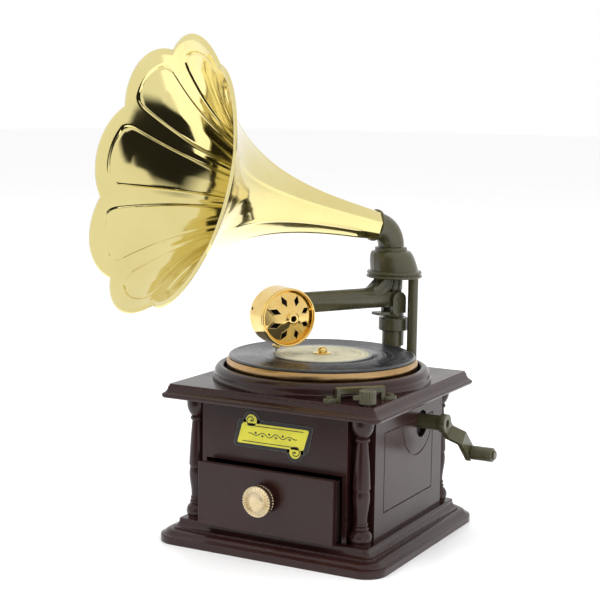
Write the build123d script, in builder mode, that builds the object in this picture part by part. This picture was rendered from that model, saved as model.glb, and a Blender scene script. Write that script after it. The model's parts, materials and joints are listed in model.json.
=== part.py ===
"""Toy gramophone music box: wooden-look cabinet with drawer, turntable, tonearm and flower horn.

Millimetres, +Z up. The origin is the centre of the plinth's underside. The drawer faces -Y,
the winding crank is on the +X side and the horn stands on a post behind the turntable.
"""
from build123d import *
from math import cos, exp, hypot, pi, radians, sin
import os

os.makedirs("parts", exist_ok=True)

# ---- driving dimensions ------------------------------------------------------------------
plinth_half = 57.5              # half width of the plinth at the floor
plinth_height = 10.5
shoulder_half = 48.8            # half width of the plinth's top
recess_half = 42.0              # recess under the plinth for the bottom cover
recess_depth = 3.0

body_half = 46.3                # half width of the cabinet
body_top = 68.0
corner_notch = 9.2              # square notch in each cabinet corner for a column
wall = 2.5
column_offset = 42.3            # column axis from the cabinet's centre planes

lid_tip_half = 55.5             # half width of the lid's lower lip
lid_flat_half = 51.8            # half width of the lid's flat top
lid_top = 74.1
lid_skin = 2.5

groove_width = 0.6
groove_depth = 0.5
groove_bottom = 21.4
groove_top = 58.3
groove_front = 28.0             # distance of the groove from the centre, to the front
groove_back = 26.0              # and to the back
arch_radius = 17.5              # round-bottomed plate around the crank hole

drawer_open = 8.1               # how far the drawer stands open at rest
drawer_front_half = 34.5
drawer_front_bottom = 11.3
drawer_front_top = 40.5
drawer_front_thick = 3.0
drawer_gap = 0.4
tray_half = 33.0
tray_depth = 80.0
tray_top = 38.5
tray_wall = 1.6
knob_height = 28.0              # height of the drawer knob's axis
knob_radius = 7.1

shelf_bottom = 41.6             # shelf between the drawer and the musical movement
shelf_thick = 1.6

turntable_radius = 45.0
record_radius = 44.0
record_top = 85.3
record_thick = 1.4
label_radius = 23.5
surround_outer = 51.5
surround_inner = 46.4
surround_top = 80.4
spindle_radius = 1.5

pipe_x, pipe_y = 14.6, 47.6     # axis of the tonearm pipe, the coupling and the horn elbow
post_x, post_y = 25.2, 47.0     # axis of the tall support post
post_radius = 2.5
pipe_radius = 5.4
pipe_stem_radius = 4.2          # below the record, where the platter passes
collar_radius = 7.2
collar_bottom = 91.8
collar_top = 98.2
yoke_bottom = 98.6
pin_height = 107.4
cheek_inside = 3.1              # half the gap between the yoke's cheeks
cheek_thick = 2.1

arm_height = 108.4              # axis of the tonearm tube
arm_radius = 5.0
arm_length = 66.2               # pipe axis to sound box axis
arm_azimuth = 29.8              # tonearm direction, from -Y towards -X
box_azimuth = 56.0              # sound box face, from -Y towards +X
box_height = 103.6
box_radius = 13.7
box_depth = 14.6
box_wall = 1.2
box_inset = 3.3                 # arm axis from the sound box's back

flange_bottom = 118.0
flange_top = 121.3
flange_radius = 13.75
coupling_top = 133.0

horn_azimuth = 27.5             # horn direction, from -Y towards -X
horn_rise = 12.5                # horn axis above the horizontal
horn_lean = 2.4                 # elbow axis ahead of the pipe axis, towards the horn
elbow_radius = 6.4
elbow_bend = 10.5
neck_radius = 7.3
flare_size = 1.84               # the bell's radius is neck + size * (exp(rate * s) - 1)
flare_rate = 0.0282
bell_wall = 1.2
bell_length = 122.9
petals = 8
petal_radius = 31.0
petal_tip = 62.8                # petal tips from the horn's axis
petal_turn = 35.6               # first petal, turned about that axis from the level

crank_y, crank_z = 13.0, 56.0   # winding axis, along X
crank_hole_radius = 6.4
crank_hole_drop = 1.3          # hole centre below the winding axis
crank_shaft_radius = 3.5
crank_hub_x = 57.7
crank_fall = 42.0               # arm direction below the horizontal, towards +Y
crank_reach = 25.0              # winding axis to grip axis
crank_bar_width = 7.0
crank_bar_thick = 2.6
crank_step = 5.2                # sideways step in the arm
grip_radius = 3.4
grip_length = 10.8

bridge_u = 55.5                 # bridge distance from the turntable axis, on the front right diagonal
bridge_half = 11.0
knob_u = 65.2                   # regulator knob distance on the same diagonal
regulator_radius = 3.85
regulator_top = 80.4

gear_module_spur = 26.0 / 48    # barrel and cylinder wheels, 13 mm between axes
wheel_teeth = 36
pinion_teeth = 12
crown_teeth = 32
crown_radius = 14.0
crown_pinion_radius = crown_radius * pinion_teeth / crown_teeth
shaft_z = crank_z               # cylinder, barrel and governor share one height
governor_y = -13.0


# ---- helpers -----------------------------------------------------------------------------
def save(builder, label):
    """Label a finished piece and write its STEP file."""
    builder.part.label = label
    export_step(builder.part, f"parts/{label}.step")


def compass(azimuth, rise=0.0):
    """Unit direction, azimuth measured from -Y towards -X."""
    flat = cos(radians(rise))
    return Vector(-sin(radians(azimuth)) * flat, -cos(radians(azimuth)) * flat, sin(radians(rise)))


def moulded_slab(section_of, core):
    """Square slab with a moulded edge: four straight sides and four turned corners."""
    with BuildPart() as side:
        extrude(section_of(core), amount=core, dir=(0, 1, 0), both=True)
    with BuildPart() as corner:
        revolve(section_of(0), axis=Axis.Z)
    with BuildPart() as slab:
        with PolarLocations(0, 4):
            add(side.part)
        with GridLocations(2 * core, 2 * core, 2, 2):
            add(corner.part)
    return slab.part


def gear(plane, radius, teeth, module, width, phase=0.0):
    """Spur gear on a plane, with slim straight-sided teeth that leave backlash."""
    pitch = 2 * pi * radius / teeth
    root = radius - 1.1 * module
    with BuildPart() as wheel:
        with BuildSketch(plane):
            Circle(root)
            with PolarLocations(0, teeth, start_angle=phase):
                Polygon(
                    (root - 0.3, -0.27 * pitch),
                    (radius + 0.8 * module, -0.12 * pitch),
                    (radius + 0.8 * module, 0.12 * pitch),
                    (root - 0.3, 0.27 * pitch),
                    align=None,
                )
        extrude(amount=width)
    return wheel.part


# ---- plinth and bottom cover -------------------------------------------------------------
plinth_core = 47.0


def plinth_section(core):
    """Half section of the plinth with its lip, ovolo, step and cove."""
    out = core - plinth_core
    with BuildSketch(Plane.XZ) as section:
        with BuildLine():
            Line((0, plinth_height), (out + shoulder_half - 0.6, plinth_height))
            ThreePointArc(
                (out + shoulder_half - 0.6, plinth_height),
                (out + shoulder_half - 0.1, plinth_height - 0.3),
                (out + shoulder_half, plinth_height - 0.9),
            )
            ThreePointArc(
                (out + shoulder_half, plinth_height - 0.9),
                (out + shoulder_half + 0.9, plinth_height - 2.9),
                (out + shoulder_half + 2.9, plinth_height - 3.7),
            )
            Polyline(
                (out + shoulder_half + 2.9, plinth_height - 3.7),
                (out + shoulder_half + 2.9, plinth_height - 4.4),
                (out + shoulder_half + 3.4, plinth_height - 4.5),
            )
            ThreePointArc(
                (out + shoulder_half + 3.4, plinth_height - 4.5),
                (out + shoulder_half + 5.7, plinth_height - 5.2),
                (out + shoulder_half + 6.6, plinth_height - 6.2),
            )
            Line(
                (out + shoulder_half + 6.6, plinth_height - 6.2),
                (out + plinth_half - 0.9, plinth_height - 6.9),
            )
            ThreePointArc(
                (out + plinth_half - 0.9, plinth_height - 6.9),
                (out + plinth_half - 0.2, plinth_height - 7.2),
                (out + plinth_half, plinth_height - 7.9),
            )
            Polyline(
                (out + plinth_half, plinth_height - 7.9),
                (out + plinth_half, 0),
                (0, 0),
                (0, plinth_height),
            )
        make_face()
    return section.sketch


plinth_solid = moulded_slab(plinth_section, plinth_core)
cover_bottom = 0.6
screw_span = 75.0
screw_shank = 1.0
screw_depth = 7.5

with BuildPart() as base_plinth:
    add(plinth_solid)
    with BuildSketch():
        RectangleRounded(2 * recess_half, 2 * recess_half, 4)
    extrude(amount=recess_depth, mode=Mode.SUBTRACT)
    with BuildSketch():
        with GridLocations(screw_span, screw_span, 2, 2):
            Circle(screw_shank)
    extrude(amount=screw_depth, mode=Mode.SUBTRACT)
save(base_plinth, "base_plinth")

with BuildPart() as bottom_cover:
    with BuildSketch(Plane.XY.offset(cover_bottom)):
        RectangleRounded(2 * recess_half - 0.6, 2 * recess_half - 0.6, 3.7)
        with GridLocations(screw_span, screw_span, 2, 2):
            Circle(screw_shank + 0.2, mode=Mode.SUBTRACT)
        with GridLocations(0, 5, 1, 5):
            SlotOverall(30, 1.6, mode=Mode.SUBTRACT)
    extrude(amount=recess_depth - cover_bottom)
    with BuildSketch(Plane.XY.offset(cover_bottom)):
        with GridLocations(screw_span, screw_span, 2, 2):
            Circle(2.3)
    extrude(amount=1.0, mode=Mode.SUBTRACT)
save(bottom_cover, "bottom_cover")

with BuildPart() as base_screws:
    with BuildSketch(Plane.XY.offset(cover_bottom)):
        with GridLocations(screw_span, screw_span, 2, 2):
            Circle(2.2)
    extrude(amount=1.0)
    with BuildSketch(Plane.XY.offset(cover_bottom)):
        with GridLocations(screw_span, screw_span, 2, 2):
            Circle(screw_shank)
    extrude(amount=screw_depth - cover_bottom)
    with BuildSketch(Plane.XY.offset(cover_bottom)):
        with GridLocations(screw_span, screw_span, 2, 2):
            Rectangle(2.6, 0.6)
            Rectangle(0.6, 2.6)
    extrude(amount=0.5, mode=Mode.SUBTRACT)
save(base_screws, "base_screws")


# ---- cabinet shell, shelf and drawer guides ----------------------------------------------
groove_centre = (groove_back - groove_front) / 2
groove_length = groove_back + groove_front
groove_mid = (groove_bottom + groove_top) / 2
groove_tall = groove_top - groove_bottom
side_plane = Plane(origin=(body_half, 0, 0), x_dir=(0, 1, 0), z_dir=(1, 0, 0))
other_side_plane = Plane(origin=(-body_half, 0, 0), x_dir=(0, 1, 0), z_dir=(-1, 0, 0))
back_plane = Plane(origin=(0, body_half, 0), x_dir=(1, 0, 0), z_dir=(0, 1, 0))
bay_half = drawer_front_half + drawer_gap
bay_top = drawer_front_top + drawer_gap

with BuildPart() as cabinet_shell:
    with BuildSketch(Plane.XY.offset(plinth_height)):
        Rectangle(2 * body_half, 2 * body_half)
        with GridLocations(2 * body_half, 2 * body_half, 2, 2):
            Rectangle(2 * corner_notch, 2 * corner_notch, mode=Mode.SUBTRACT)
        offset(amount=-wall, kind=Kind.INTERSECTION, mode=Mode.SUBTRACT)
    extrude(amount=body_top - plinth_height)
    # drawer opening, down to the plinth
    with BuildSketch(Plane.XZ.offset(body_half)):
        with Locations((0, (plinth_height + bay_top) / 2)):
            Rectangle(2 * bay_half, bay_top - plinth_height)
    extrude(amount=-wall, mode=Mode.SUBTRACT)
    # crank hole
    with BuildSketch(side_plane):
        with Locations((crank_y, crank_z - crank_hole_drop)):
            Circle(crank_hole_radius)
    extrude(amount=-wall, mode=Mode.SUBTRACT)
    # grooved frames on the two sides and the back
    for panel in (side_plane, other_side_plane, back_plane):
        with BuildSketch(panel):
            with Locations((groove_centre, groove_mid * panel.y_dir.Z)):
                Rectangle(groove_length, groove_tall)
                Rectangle(groove_length - 2 * groove_width, groove_tall - 2 * groove_width, mode=Mode.SUBTRACT)
        extrude(amount=-groove_depth, mode=Mode.SUBTRACT)
    # half-round plate around the crank hole
    with BuildSketch(side_plane):
        with Locations((groove_back - arch_radius, groove_top)):
            Circle(arch_radius)
            Circle(arch_radius - groove_width, mode=Mode.SUBTRACT)
        with Locations((0, groove_top + arch_radius)):
            Rectangle(4 * body_half, 2 * arch_radius, mode=Mode.SUBTRACT)
    extrude(amount=-groove_depth, mode=Mode.SUBTRACT)
save(cabinet_shell, "cabinet_shell")

inner_half = body_half - wall
with BuildPart() as movement_shelf:
    with BuildSketch(Plane.XY.offset(shelf_bottom)):
        Rectangle(2 * inner_half, 2 * inner_half)
        with GridLocations(2 * body_half, 2 * body_half, 2, 2):
            Rectangle(2 * (corner_notch + wall), 2 * (corner_notch + wall), mode=Mode.SUBTRACT)
    extrude(amount=shelf_thick)
save(movement_shelf, "movement_shelf")

guide_inside = tray_half + 0.4
guide_thick = 1.8
guide_length = 2 * inner_half - 22
with BuildPart() as drawer_guides:
    with BuildSketch(Plane.XY.offset(plinth_height)):
        with GridLocations(2 * guide_inside + guide_thick, 0, 2, 1):
            Rectangle(guide_thick, guide_length)
    extrude(amount=14)
save(drawer_guides, "drawer_guides")

runner_width = 4.0
with BuildPart() as drawer_runners:
    with BuildSketch(Plane.XY.offset(plinth_height)):
        with GridLocations(2 * guide_inside - runner_width, 0, 2, 1):
            Rectangle(runner_width, guide_length)
    extrude(amount=0.5)
save(drawer_runners, "drawer_runners")


# ---- corner columns ----------------------------------------------------------------------
def turned_column(x, y):
    """Baluster: ball foot, two beads, waisted bulb, tapered shaft, ring and cup."""
    foot = plinth_height
    with BuildPart() as column:
        with BuildSketch(Plane.XZ):
            with BuildLine():
                Polyline((0, foot), (4.3, foot), (4.3, foot + 0.7))
                ThreePointArc((4.3, foot + 0.7), (5.0, foot + 3.7), (3.2, foot + 6.6))
                ThreePointArc((3.2, foot + 6.6), (3.5, foot + 7.5), (2.9, foot + 8.3))
                ThreePointArc((2.9, foot + 8.3), (3.2, foot + 9.2), (2.8, foot + 10.2))
                Spline((2.8, foot + 10.2), (3.1, foot + 14.5), (3.8, foot + 20.0), (3.5, foot + 24.0))
                Line((3.5, foot + 24.0), (3.95, foot + 25.2))
                Spline((3.95, foot + 25.2), (3.4, foot + 36.0), (2.6, foot + 46.0))
                ThreePointArc((2.6, foot + 46.0), (3.4, foot + 47.0), (2.7, foot + 48.1))
                ThreePointArc((2.7, foot + 48.1), (4.3, foot + 50.6), (5.0, foot + 54.0))
                Polyline(
                    (5.0, foot + 54.0),
                    (5.0, body_top),
                    (0, body_top),
                    (0, foot),
                )
            make_face()
        revolve(axis=Axis.Z)
    return Pos(x, y, 0) * column.part


for row, side_y in (("front", -1), ("rear", 1)):
    for side, side_x in (("left", -1), ("right", 1)):
        turned = turned_column(side_x * column_offset, side_y * column_offset)
        with BuildPart() as column:
            add(turned)
        save(column, f"column_{row}_{side}")


# ---- lid and turntable surround ----------------------------------------------------------
lid_core = 51.4


def lid_section(core):
    """Half section of the lid: flat top, small step, ogee and lower lip."""
    out = core - lid_core
    with BuildSketch(Plane.XZ) as section:
        with BuildLine():
            Polyline(
                (0, body_top),
                (0, lid_top),
                (out + lid_flat_half, lid_top),
                (out + lid_flat_half + 0.2, lid_top - 0.9),
                (out + lid_flat_half + 0.7, lid_top - 1.1),
            )
            ThreePointArc(
                (out + lid_flat_half + 0.7, lid_top - 1.1),
                (out + lid_flat_half + 1.3, lid_top - 2.9),
                (out + lid_tip_half - 0.6, lid_top - 4.3),
            )
            ThreePointArc(
                (out + lid_tip_half - 0.6, lid_top - 4.3),
                (out + lid_tip_half - 0.1, lid_top - 4.8),
                (out + lid_tip_half, lid_top - 5.4),
            )
            Polyline((out + lid_tip_half, lid_top - 5.4), (out + lid_tip_half - 0.4, body_top), (0, body_top))
        make_face()
    return section.sketch


lid_solid = moulded_slab(lid_section, lid_core)
bush_radius = 4.0
bush_bottom = 69.4
peg_radius = 1.6
peg_depth = 3.5
regulator_plane = Plane(origin=(0, 0, lid_top), x_dir=(1, 1, 0), z_dir=(0, 0, 1))
regulator_peg = 0.9
regulator_peg_depth = 2.0
bridge_screw_v = bridge_half + 3.0

with BuildPart() as lid:
    add(lid_solid)
    with BuildSketch(Plane.XY.offset(body_top)):
        Rectangle(2 * inner_half - 0.6, 2 * inner_half - 0.6)
        with GridLocations(2 * body_half, 2 * body_half, 2, 2):
            Rectangle(2 * (corner_notch + wall) + 0.6, 2 * (corner_notch + wall) + 0.6, mode=Mode.SUBTRACT)
    extrude(amount=lid_top - lid_skin - body_top, mode=Mode.SUBTRACT)
    with BuildSketch(Plane.XY.offset(body_top)):
        Circle(bush_radius)
    extrude(amount=lid_top - body_top, mode=Mode.SUBTRACT)
    # sockets for the tonearm pipe and the support post, right through the skin
    with BuildSketch(Plane.XY.offset(lid_top)):
        with Locations((pipe_x, pipe_y), (post_x, post_y)):
            Circle(peg_radius)
    extrude(amount=-peg_depth, mode=Mode.SUBTRACT)
    # holes for the regulator's shaft and the bridge's two screws
    with BuildSketch(regulator_plane):
        with Locations((0, -knob_u), (-bridge_screw_v, -bridge_u), (bridge_screw_v, -bridge_u)):
            Circle(regulator_peg)
    extrude(amount=-regulator_peg_depth, mode=Mode.SUBTRACT)
save(lid, "lid")

with BuildPart() as turntable_surround:
    with BuildSketch(Plane.XZ):
        with BuildLine():
            Polyline(
                (surround_inner, surround_top - 0.5),
                (surround_inner, lid_top),
                (surround_outer, lid_top),
                (surround_outer, lid_top + 1.4),
                (surround_outer - 0.7, lid_top + 1.7),
                (surround_outer - 0.8, lid_top + 3.0),
            )
            ThreePointArc(
                (surround_outer - 0.8, lid_top + 3.0),
                (surround_outer - 1.3, lid_top + 4.9),
                (surround_outer - 3.3, surround_top),
            )
            Polyline(
                (surround_outer - 3.3, surround_top),
                (surround_inner + 0.5, surround_top),
                (surround_inner, surround_top - 0.5),
            )
        make_face()
    revolve(axis=Axis.Z)
    # scalloped away where the tonearm pipe and the post stand
    with BuildSketch(Plane.XY.offset(lid_top)):
        with Locations((pipe_x, pipe_y)):
            Circle(pipe_stem_radius + 0.3)
        with Locations((post_x, post_y)):
            Circle(post_radius + 0.3)
    extrude(amount=10, mode=Mode.SUBTRACT)
save(turntable_surround, "turntable_surround")

with BuildPart() as spindle_bush:
    with BuildSketch(Plane.XY.offset(bush_bottom)):
        Circle(bush_radius)
        Circle(spindle_radius + 0.05, mode=Mode.SUBTRACT)
    extrude(amount=lid_top + 0.8 - bush_bottom)
save(spindle_bush, "spindle_bush")


# ---- label on the front panel ------------------------------------------------------------
label_z = 54.7
label_shear = 1.4
backing_thick = 0.4
front_plane = Plane(origin=(0, -body_half, 0), x_dir=(1, 0, 0), z_dir=(0, -1, 0))


def label_outline(half_wide, half_tall, curl):
    """Slanted panel with a scroll curl at two opposite corners."""
    with BuildSketch(front_plane) as outline:
        with Locations((0, label_z)):
            Polygon(
                (-half_wide - label_shear, -half_tall),
                (half_wide - label_shear, -half_tall),
                (half_wide + label_shear, half_tall),
                (-half_wide + label_shear, half_tall),
                align=None,
            )
            with Locations((-12, half_tall + 0.6), (12, -half_tall - 0.6)):
                Circle(curl)
    return outline.sketch


with BuildPart() as label_backing:
    extrude(label_outline(19.2, 6.6, 4.6), amount=backing_thick, dir=(0, -1, 0))
save(label_backing, "label_backing")

with BuildPart() as label_scroll:
    with Locations((0, -backing_thick, 0)):
        add(extrude(label_outline(17.0, 4.8, 2.9), amount=0.3, dir=(0, -1, 0), mode=Mode.PRIVATE))
save(label_scroll, "label_scroll")


# ---- drawer ------------------------------------------------------------------------------
front_face_y = -body_half - drawer_open
tray_front_y = front_face_y + drawer_front_thick
tray_bottom = plinth_height + 0.6

with BuildPart() as drawer_front:
    with BuildSketch(Plane.XZ.offset(-front_face_y)):
        with Locations((0, (drawer_front_bottom + drawer_front_top) / 2)):
            Rectangle(2 * drawer_front_half, drawer_front_top - drawer_front_bottom)
    extrude(amount=-drawer_front_thick)
    outer_edges = drawer_front.faces().sort_by(Axis.Y)[0].edges()
    fillet(outer_edges, 0.4)
    with BuildSketch(Plane.XZ.offset(-front_face_y)):
        with Locations((0, knob_height)):
            Circle(1.2)
    extrude(amount=-drawer_front_thick, mode=Mode.SUBTRACT)
save(drawer_front, "drawer_front")

with BuildPart() as drawer_tray:
    with BuildSketch(Plane.XY.offset(tray_bottom)):
        with Locations((0, tray_front_y + tray_depth / 2)):
            Rectangle(2 * tray_half, tray_depth)
    extrude(amount=tray_top - tray_bottom)
    with BuildSketch(Plane.XY.offset(tray_bottom + tray_wall)):
        with Locations((0, tray_front_y + tray_depth / 2)):
            Rectangle(2 * (tray_half - tray_wall), tray_depth - 2 * tray_wall)
    extrude(amount=tray_top, mode=Mode.SUBTRACT)
    with BuildSketch(Plane.XZ.offset(-tray_front_y)):
        with Locations((0, knob_height)):
            Circle(1.2)
    extrude(amount=-tray_wall, mode=Mode.SUBTRACT)
save(drawer_tray, "drawer_tray")

knob_depth = 7.2
with BuildPart() as drawer_knob:
    with BuildSketch(Plane.XY):
        with BuildLine():
            Polyline((0, 0), (3.4, 0), (3.4, 2.0))
            ThreePointArc((3.4, 2.0), (3.9, 3.6), (knob_radius - 0.6, 4.2))
            Polyline(
                (knob_radius - 0.6, 4.2),
                (knob_radius, 4.8),
                (knob_radius, knob_depth - 0.5),
                (knob_radius - 0.5, knob_depth),
                (knob_radius - 1.1, knob_depth),
            )
            ThreePointArc((knob_radius - 1.1, knob_depth), (4.3, knob_depth - 0.8), (3.1, knob_depth - 1.1))
            Polyline((3.1, knob_depth - 1.1), (3.1, knob_depth - 0.7), (0, knob_depth - 0.7), (0, 0))
        make_face()
    revolve(axis=Axis.Y)
    # fine coin-edge flutes round the rim
    with BuildSketch(Plane.XZ.offset(-4.2)):
        with PolarLocations(knob_radius + 0.12, 48):
            Circle(0.22)
    extrude(amount=-5, mode=Mode.SUBTRACT)
    with BuildSketch(Plane.XZ):
        Circle(1.15)
    extrude(amount=-5, mode=Mode.SUBTRACT)
knob_solid = Pos(0, front_face_y, knob_height) * Rot(180, 0, 0) * drawer_knob.part
with BuildPart() as drawer_knob:
    add(knob_solid)
save(drawer_knob, "drawer_knob")

with BuildPart() as drawer_knob_screw:
    with BuildSketch(Plane.XZ.offset(-tray_front_y - tray_wall)):
        with Locations((0, knob_height)):
            Circle(2.2)
    extrude(amount=-1.2)
    with BuildSketch(Plane.XZ.offset(-tray_front_y - tray_wall)):
        with Locations((0, knob_height)):
            Circle(1.1)
    extrude(amount=drawer_front_thick + tray_wall + 4.5)
    with BuildSketch(Plane.XZ.offset(-tray_front_y - tray_wall - 1.2)):
        with Locations((0, knob_height)):
            Rectangle(2.8, 0.6)
            Rectangle(0.6, 2.8)
    extrude(amount=0.6, mode=Mode.SUBTRACT)
save(drawer_knob_screw, "drawer_knob_screw")


# ---- turntable ---------------------------------------------------------------------------
platter_bottom = lid_top + 5.0
platter_top = record_top - record_thick
crown_pitch_z = shaft_z + crown_pinion_radius
crown_underside = crown_pitch_z + 1.0
spindle_top = record_top + 1.2

with BuildPart() as platter:
    with BuildSketch(Plane.XZ):
        with BuildLine():
            Polyline(
                (spindle_radius, platter_top),
                (spindle_radius, lid_top + 1.0),
                (5.0, lid_top + 1.0),
                (5.0, platter_bottom),
                (turntable_radius - 1.4, platter_bottom),
            )
            ThreePointArc(
                (turntable_radius - 1.4, platter_bottom),
                (turntable_radius, (platter_bottom + platter_top) / 2),
                (turntable_radius - 0.8, platter_top),
            )
            Line((turntable_radius - 0.8, platter_top), (spindle_radius, platter_top))
        make_face()
    revolve(axis=Axis.Z)
save(platter, "platter")

with BuildPart() as record_disc:
    with BuildSketch(Plane.XY.offset(platter_top)):
        Circle(record_radius)
        Circle(spindle_radius, mode=Mode.SUBTRACT)
    extrude(amount=record_thick)
    rims = record_disc.edges().filter_by(GeomType.CIRCLE).group_by(SortBy.RADIUS)[-1]
    fillet(rims, 0.35)
save(record_disc, "record_disc")

with BuildPart() as record_label:
    with BuildSketch(Plane.XY.offset(record_top)):
        Circle(label_radius)
        Circle(spindle_radius, mode=Mode.SUBTRACT)
    extrude(amount=0.12)
save(record_label, "record_label")

with BuildPart() as turntable_spindle:
    with BuildSketch(Plane.XY.offset(crown_underside - 0.6)):
        Circle(spindle_radius)
    extrude(amount=spindle_top - crown_underside + 0.6)
save(turntable_spindle, "turntable_spindle")

cap_bottom = record_top + 0.12
with BuildPart() as spindle_cap:
    with BuildSketch(Plane.XY.offset(cap_bottom)):
        Circle(4.3)
    extrude(amount=0.9)
    fillet(spindle_cap.edges().group_by(Axis.Z)[-1], 0.5)
    with Locations((0, 0, cap_bottom + 0.9)):
        Sphere(2.3)
    with BuildSketch(Plane.XY.offset(cap_bottom)):
        Circle(5)
    extrude(amount=-3, mode=Mode.SUBTRACT)
    with BuildSketch(Plane.XY.offset(cap_bottom)):
        Circle(spindle_radius)
    extrude(amount=spindle_top - cap_bottom, mode=Mode.SUBTRACT)
save(spindle_cap, "spindle_cap")

crown_pitch = 2 * pi * crown_radius / crown_teeth
with BuildPart() as crown_gear:
    with BuildSketch(Plane.XY.offset(crown_underside)):
        Circle(crown_radius + 1.6)
        Circle(spindle_radius, mode=Mode.SUBTRACT)
    extrude(amount=1.8)
    with BuildSketch(Plane.XY.offset(crown_underside)):
        with PolarLocations(crown_radius, crown_teeth, start_angle=180 / crown_teeth):
            Rectangle(3.0, 0.34 * crown_pitch)
    extrude(amount=-1.7, taper=10)
save(crown_gear, "crown_gear")


# ---- support post, tonearm pipe and yoke -------------------------------------------------
with BuildPart() as support_post:
    with BuildSketch(Plane.XY.offset(lid_top)):
        with Locations((post_x, post_y)):
            Circle(post_radius)
    extrude(amount=flange_bottom - lid_top)
    with BuildSketch(Plane.XY.offset(lid_top)):
        with Locations((post_x, post_y)):
            Circle(peg_radius)
    extrude(amount=-peg_depth)
save(support_post, "support_post")

spigot_radius = 3.0
pipe_bottom = record_top - record_thick + 0.4
with BuildPart() as tonearm_pipe:
    with BuildSketch(Plane.XZ):
        with BuildLine():
            Polyline(
                (0, lid_top - peg_depth),
                (peg_radius, lid_top - peg_depth),
                (peg_radius, lid_top),
                (pipe_stem_radius, lid_top),
                (pipe_stem_radius, pipe_bottom),
                (pipe_radius, pipe_bottom),
                (pipe_radius, collar_bottom),
                (collar_radius - 0.3, collar_bottom),
                (collar_radius, collar_bottom + 0.4),
                (collar_radius, collar_top - 0.5),
                (collar_radius - 0.5, collar_top),
                (spigot_radius + 0.05, collar_top),
                (spigot_radius + 0.05, collar_bottom - 2),
                (0, collar_bottom - 2),
                close=True,
            )
        make_face()
    revolve(axis=Axis.Z)
pipe_solid = Pos(pipe_x, pipe_y, 0) * tonearm_pipe.part
with BuildPart() as tonearm_pipe:
    add(pipe_solid)
save(tonearm_pipe, "tonearm_pipe")

arm_turn = 270 - arm_azimuth      # plan angle of the tonearm from +X
cheek_length = 7.6
cheek_top = pin_height + 4.0
cheek_plane = Plane(origin=(0, 0, 0), x_dir=(1, 0, 0), z_dir=(0, -1, 0))
pin_radius = 1.1

with BuildPart() as yoke:
    with BuildSketch(Plane.XY.offset(yoke_bottom)):
        Circle(pipe_radius - 0.2)
    extrude(amount=2.6)
    with BuildSketch(Plane.XY.offset(yoke_bottom)):
        Circle(spigot_radius)
    extrude(amount=-(yoke_bottom - collar_bottom + 1.8))
    with BuildSketch(cheek_plane):
        with Locations((0, (yoke_bottom + 2.0 + pin_height) / 2)):
            Rectangle(cheek_length, pin_height - yoke_bottom - 2.0)
        with Locations((0, pin_height)):
            Circle(cheek_length / 2)
            Circle(pin_radius, mode=Mode.SUBTRACT)
    extrude(amount=cheek_inside + cheek_thick, both=True)
    with BuildSketch(Plane.XY.offset(yoke_bottom + 2.6)):
        Rectangle(3 * cheek_length, 2 * cheek_inside)
    extrude(amount=20, mode=Mode.SUBTRACT)
    # tongue under the tonearm tube
    with BuildSketch(Plane.XY.offset(yoke_bottom + 1.2)):
        with Locations((5.5, 0)):
            Rectangle(11.0, 6.0)
    extrude(amount=1.4)
yoke_solid = Pos(pipe_x, pipe_y, 0) * Rot(0, 0, arm_turn) * yoke.part
with BuildPart() as tonearm_yoke:
    add(yoke_solid)
save(tonearm_yoke, "tonearm_yoke")

pin_slack = 0.04
with BuildPart() as pivot_pin:
    with Locations(Plane((0, 0, pin_height), z_dir=(0, 1, 0))):
        Cylinder(pin_radius, 2 * (cheek_inside + cheek_thick) + 0.8)
pin_solid = Pos(pipe_x, pipe_y, 0) * Rot(0, 0, arm_turn) * pivot_pin.part
with BuildPart() as tonearm_pin:
    add(pin_solid)
save(tonearm_pin, "tonearm_pin")


# ---- tonearm tube and sound box ----------------------------------------------------------
def arm_frame(solid):
    """Place a solid made with the pipe axis on Z and the tonearm along +X."""
    return Pos(pipe_x, pipe_y, 0) * Rot(0, 0, arm_turn) * solid


sound_box_origin = Vector(pipe_x, pipe_y, box_height) + compass(arm_azimuth) * arm_length
box_normal = compass(-box_azimuth)
box_origin = sound_box_origin - box_normal * box_inset
box_plane = Plane(origin=box_origin, x_dir=(0, 0, 1), z_dir=box_normal)

tube_start = 6.3
neck_bottom = pin_height + 4.8
neck_stub_radius = 4.2
arm_crest = flange_bottom - 0.6
lug_half = cheek_inside - 0.2
with BuildPart() as arm:
    with BuildSketch(Plane.YZ.offset(tube_start)):
        with Locations((0, arm_height)):
            Circle(arm_radius)
    extrude(amount=arm_length - tube_start - box_radius / 2)
    # pivot lug between the yoke's cheeks
    with BuildSketch(cheek_plane):
        with Locations((0, pin_height)):
            Circle(3.6)
        with Locations(((tube_start + 1) / 2, pin_height)):
            Rectangle(tube_start + 1, 7.2)
    extrude(amount=lug_half, both=True)
    # hollow neck above the pivot and the gusset before it, which point into the coupling
    with BuildSketch(Plane.XY.offset(pin_height)):
        Rectangle(5.2, 2 * lug_half)
    extrude(amount=neck_bottom - pin_height + 0.5)
    with BuildSketch(Plane.XY.offset(neck_bottom)):
        Circle(neck_stub_radius)
    extrude(amount=arm_crest - neck_bottom)
    with BuildSketch(cheek_plane):
        with Locations(((tube_start + 2.6) / 2, arm_crest - 1.1)):
            Rectangle(tube_start + 2.6, 2.2)
    extrude(amount=2.6, both=True)
    with BuildSketch(cheek_plane):
        with BuildLine():
            Polyline(
                (tube_start + 0.6, arm_height),
                (tube_start + 0.6, arm_crest),
                (tube_start + 2.6, arm_crest),
                (tube_start + 8.0, arm_height + arm_radius - 0.6),
                (tube_start + 8.0, arm_height),
                close=True,
            )
        make_face()
    extrude(amount=4.0, both=True)
    with BuildSketch(cheek_plane):
        with Locations((0, pin_height)):
            Circle(pin_radius + pin_slack)
    extrude(amount=lug_half, both=True, mode=Mode.SUBTRACT)
tube_solid = arm_frame(arm.part)
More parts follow.
